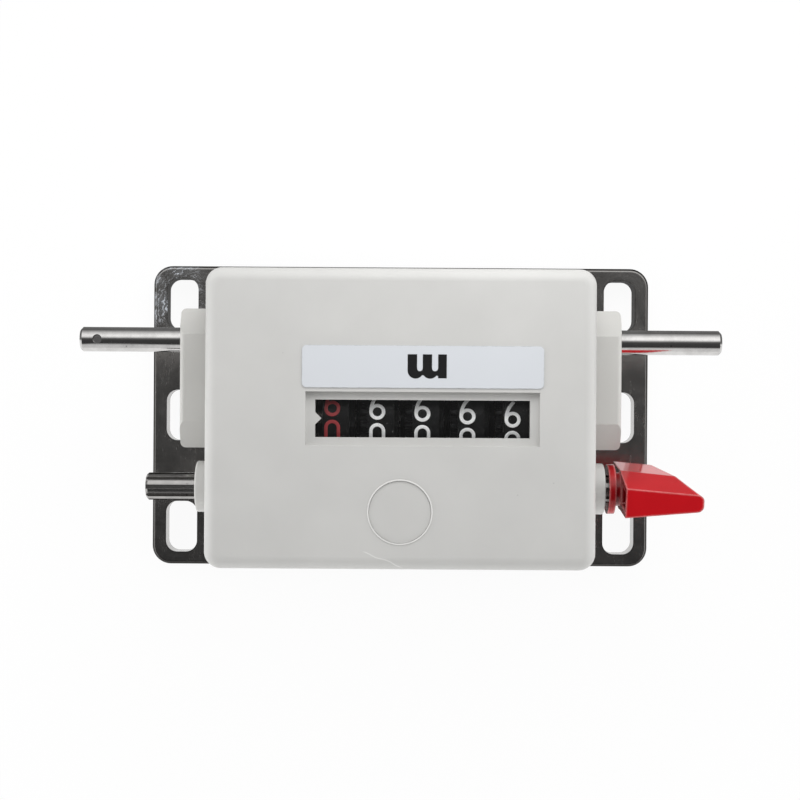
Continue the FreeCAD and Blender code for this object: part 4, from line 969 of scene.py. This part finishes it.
def neck_ring(sizes):
    """Ring that thins the neck between the disc and the wing."""
    start = Vector((ROOT_FACE + sizes.neck_length, RESET_AXIS.y, RESET_AXIS.z))
    bpy.ops.object.select_all(action="DESELECT")
    bpy.ops.mesh.primitive_circle_add(vertices=48, radius=sizes.neck_radius, location=start,
                                      rotation=(0.0, math.pi / 2, 0.0))
    ring = bpy.context.view_layer.objects.active
    settle(ring)
    bpy.ops.object.mode_set(mode="EDIT")
    bpy.ops.mesh.select_all(action="SELECT")
    bpy.ops.mesh.extrude_region_move()
    bpy.ops.transform.resize(value=(1.0, NECK_WIDER, NECK_WIDER), center_override=start)
    bpy.ops.mesh.select_all(action="SELECT")
    bpy.ops.mesh.extrude_region_move(
        TRANSFORM_OT_translate={"value": (NECK_GAP - sizes.neck_length, 0.0, 0.0)})
    bpy.ops.mesh.select_all(action="SELECT")
    bpy.ops.mesh.normals_make_consistent(inside=False)
    bpy.ops.object.mode_set(mode="OBJECT")
    return ring


class COUNTER_OT_wing_key(bpy.types.Operator):
    """Thins the neck of the red wing key and hollows the root of its wing"""
    bl_idname = "counter.wing_key"
    bl_label = "Cut the wing key"

    def execute(self, context):
        sizes = context.scene.counter_sizes
        piece = merged_copy("reset_key", "wing_key")
        trim(piece, neck_ring(sizes))
        for side in (1, -1):
            trim(piece, root_pocket(sizes, side))
        pick(piece)
        bpy.ops.object.mode_set(mode="EDIT")
        bpy.ops.mesh.select_all(action="SELECT")
        bpy.ops.mesh.remove_doubles(threshold=KEY_MERGE)
        bpy.ops.object.mode_set(mode="OBJECT")
        smooth(30)
        for face in piece.data.polygons:
            face.use_smooth = face.area < LARGE_FACE
        hand_over(piece, "reset", "key_plastic")
        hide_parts("reset_key")
        return {"FINISHED"}


def end_wedge(piece, end, sizes):
    """Block that slopes a side cover's top towards one end, outside the housing's wall alone."""
    low, high = (Vector(piece.bound_box[corner]) for corner in (0, 6))
    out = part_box("housing")[1].x + WEDGE_SIZE[0] / 2
    slope = -end * sizes.cover_slope
    pivot = Vector((math.copysign(out, high.x),
                    (high if end > 0 else low).y - end * sizes.slope_length, high.z))
    reach = Vector((0.0, end * WEDGE_SIZE[1] / 2, WEDGE_SIZE[2] / 2))
    reach.rotate(Matrix.Rotation(slope, 3, "X"))
    return new_block(WEDGE_SIZE, pivot + reach, (slope, 0.0, 0.0))


class COUNTER_OT_side_covers(bpy.types.Operator):
    """Slopes the tops of the side covers towards their ends"""
    bl_idname = "counter.side_covers"
    bl_label = "Slope the side covers"

    def execute(self, context):
        sizes = context.scene.counter_sizes
        for name in ("side_cover_right", "side_cover_left"):
            piece = merged_copy(name, f"sloped_{name}")
            for end in (-1, 1):
                trim(piece, end_wedge(piece, end, sizes))
            smooth(15)
            hand_over(piece, "frame", "cover_plastic")
            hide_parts(name)
        return {"FINISHED"}


class COUNTER_OT_plate_screws(bpy.types.Operator):
    """Cuts a cross recess in the heads under the plate"""
    bl_idname = "counter.plate_screws"
    bl_label = "Cut the plate screws"

    def execute(self, context):
        sizes = context.scene.counter_sizes
        for name in ("foot_screws", "housing_screws"):
            piece = merged_copy(name, f"cross_{name}")
            trim(piece, cross_cutter(screw_axes(piece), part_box(name)[0].z, sizes))
            smooth(30)
            hand_over(piece, "frame", "screw_steel")
            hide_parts(name)
        return {"FINISHED"}


class COUNTER_OT_studio(bpy.types.Operator):
    """Sets the floor, the light tent, the lamps and the camera"""
    bl_idname = "counter.studio"
    bl_label = "Set the studio"

    def execute(self, context):
        studio = context.scene.counter_studio
        make_floor()
        make_tent(studio)
        for name, place, side, share in LAMPS:
            make_lamp(name, place, side, studio.lamp_power * share)
        camera = bpy.data.cameras.new("camera")
        camera.lens = studio.lens
        camera.sensor_width = SENSOR_WIDTH
        camera.clip_start = 0.01
        held = bpy.data.objects.new("camera", camera)
        held.location = (*CAMERA_PLACE, studio.camera_height)
        held.rotation_euler = (0.0, 0.0, CAMERA_TURN)
        context.scene.collection.objects.link(held)
        context.scene.camera = held
        context.scene.view_settings.view_transform = "Standard"
        return {"FINISHED"}


def make_floor():
    """Plain white floor that keeps a soft shadow; metal sees a dark card in its far part."""
    bpy.ops.object.select_all(action="DESELECT")
    bpy.ops.mesh.primitive_plane_add(size=FLOOR_SIZE, location=(0.0, 0.0, -FLOOR_DROP))
    floor = bpy.context.view_layer.objects.active
    floor.name = "floor"
    material, tree, shader, place = new_material("floor_paper")
    feed(tree, shader, Base_Color=PAPER, Roughness=0.9)
    rays = node(tree, "LightPath").outputs
    across = node(tree, "SeparateXYZ", {0: place}).outputs["Y"]
    card = product(tree, ranged(tree, across, *CARD_EDGE, smooth=True), rays["Is Glossy Ray"])
    light = ranged(tree, card, 0.0, 1.0, 1.0, CARD_LEVEL)
    glow = node(tree, "Emission", {"Color": WHITE, "Strength": light}).outputs[0]
    seen = math_node(tree, "MAXIMUM", rays["Is Camera Ray"],
                     math_node(tree, "MAXIMUM", rays["Is Glossy Ray"], rays["Is Transmission Ray"]))
    share = product(tree, seen, FLOOR_GLOW)
    mix = node(tree, "MixShader", {0: share, 1: shader.outputs[0], 2: glow})
    feed(tree, tree.nodes["Material Output"], Surface=mix.outputs[0])
    floor.data.materials.append(material)


def make_tent(studio):
    """Light tent: a bright far wall, a dark slot overhead towards the near side, pale ends."""
    world = bpy.data.worlds.new("tent")
    world.use_nodes = True
    tree = world.node_tree
    look = node(tree, "TexCoord").outputs["Generated"]
    along, across, up = node(tree, "SeparateXYZ", {0: look}).outputs
    turn = math_node(tree, "ARCTAN2", across, up)
    ramp = node(tree, "ValToRGB", {0: ranged(tree, turn, -math.pi / 2, math.pi / 2)})
    stops = ramp.color_ramp.elements
    while len(stops) < len(TENT_WALL):
        stops.new(0.5)
    for stop, (angle, level) in zip(stops, TENT_WALL):
        stop.position = (angle + 90) / 180
        stop.color = (*(level / TENT_SCALE,) * 3, 1.0)
    lean = ranged(tree, along, -1.0, 1.0, 1 + studio.tent_lean, 1 - studio.tent_lean)
    wall = product(tree, product(tree, ramp.outputs[0], TENT_SCALE), lean)
    side = ranged(tree, math_node(tree, "ABSOLUTE", along), 0.5, 0.7, smooth=True)
    tent = node(tree, "Mix", {0: side, 2: wall, 3: studio.end_level}, data_type="FLOAT").outputs[0]
    strength = product(tree, tent, studio.tent_level)
    seen = node(tree, "LightPath").outputs["Is Camera Ray"]
    feed(tree, tree.nodes["Background"], Color=WHITE,
         Strength=math_node(tree, "MAXIMUM", seen, strength))
    bpy.context.scene.world = world


def make_lamp(name, place, size, power):
    """A square soft lamp turned to the object."""
    lamp = bpy.data.lights.new(name, "AREA")
    lamp.size = size
    lamp.energy = power
    held = bpy.data.objects.new(name, lamp)
    held.location = place
    held.rotation_euler = (Vector(place) - LAMP_AIM).to_track_quat("Z", "Y").to_euler()
    held.visible_camera = False
    held.visible_glossy = False
    bpy.context.scene.collection.objects.link(held)


SETTINGS = {"counter_sizes": CounterSizes, "counter_colours": CounterColours,
            "counter_studio": StudioSettings}
OPERATORS = (
    COUNTER_OT_finishes, COUNTER_OT_numerals, COUNTER_OT_unit_letter, COUNTER_OT_dish_rim,
    COUNTER_OT_wing_key, COUNTER_OT_side_covers, COUNTER_OT_plate_screws, COUNTER_OT_studio,
)


class COUNTER_PT_panel(bpy.types.Panel):
    bl_label = "Cable length counter"
    bl_idname = "COUNTER_PT_panel"
    bl_space_type = "VIEW_3D"
    bl_region_type = "UI"
    bl_category = "Counter"

    def draw(self, context):
        for operator in OPERATORS:
            self.layout.operator(operator.bl_idname)
        for group in SETTINGS:
            settings = getattr(context.scene, group)
            box = self.layout.box()
            for name in settings.__annotations__:
                box.prop(settings, name)


CLASSES = (*SETTINGS.values(), *OPERATORS, COUNTER_PT_panel)


def register():
    for kind in CLASSES:
        bpy.utils.register_class(kind)
    for group, kind in SETTINGS.items():
        setattr(bpy.types.Scene, group, bpy.props.PointerProperty(type=kind))


def unregister():
    for group in SETTINGS:
        delattr(bpy.types.Scene, group)
    for kind in reversed(CLASSES):
        bpy.utils.unregister_class(kind)


def main():
    register()
    bpy.ops.counter.finishes()
    bpy.ops.counter.numerals()
    bpy.ops.counter.unit_letter()
    bpy.ops.counter.dish_rim()
    bpy.ops.counter.wing_key()
    bpy.ops.counter.side_covers()
    bpy.ops.counter.plate_screws()
    bpy.ops.counter.studio()


if __name__ == "__main__":
    main()
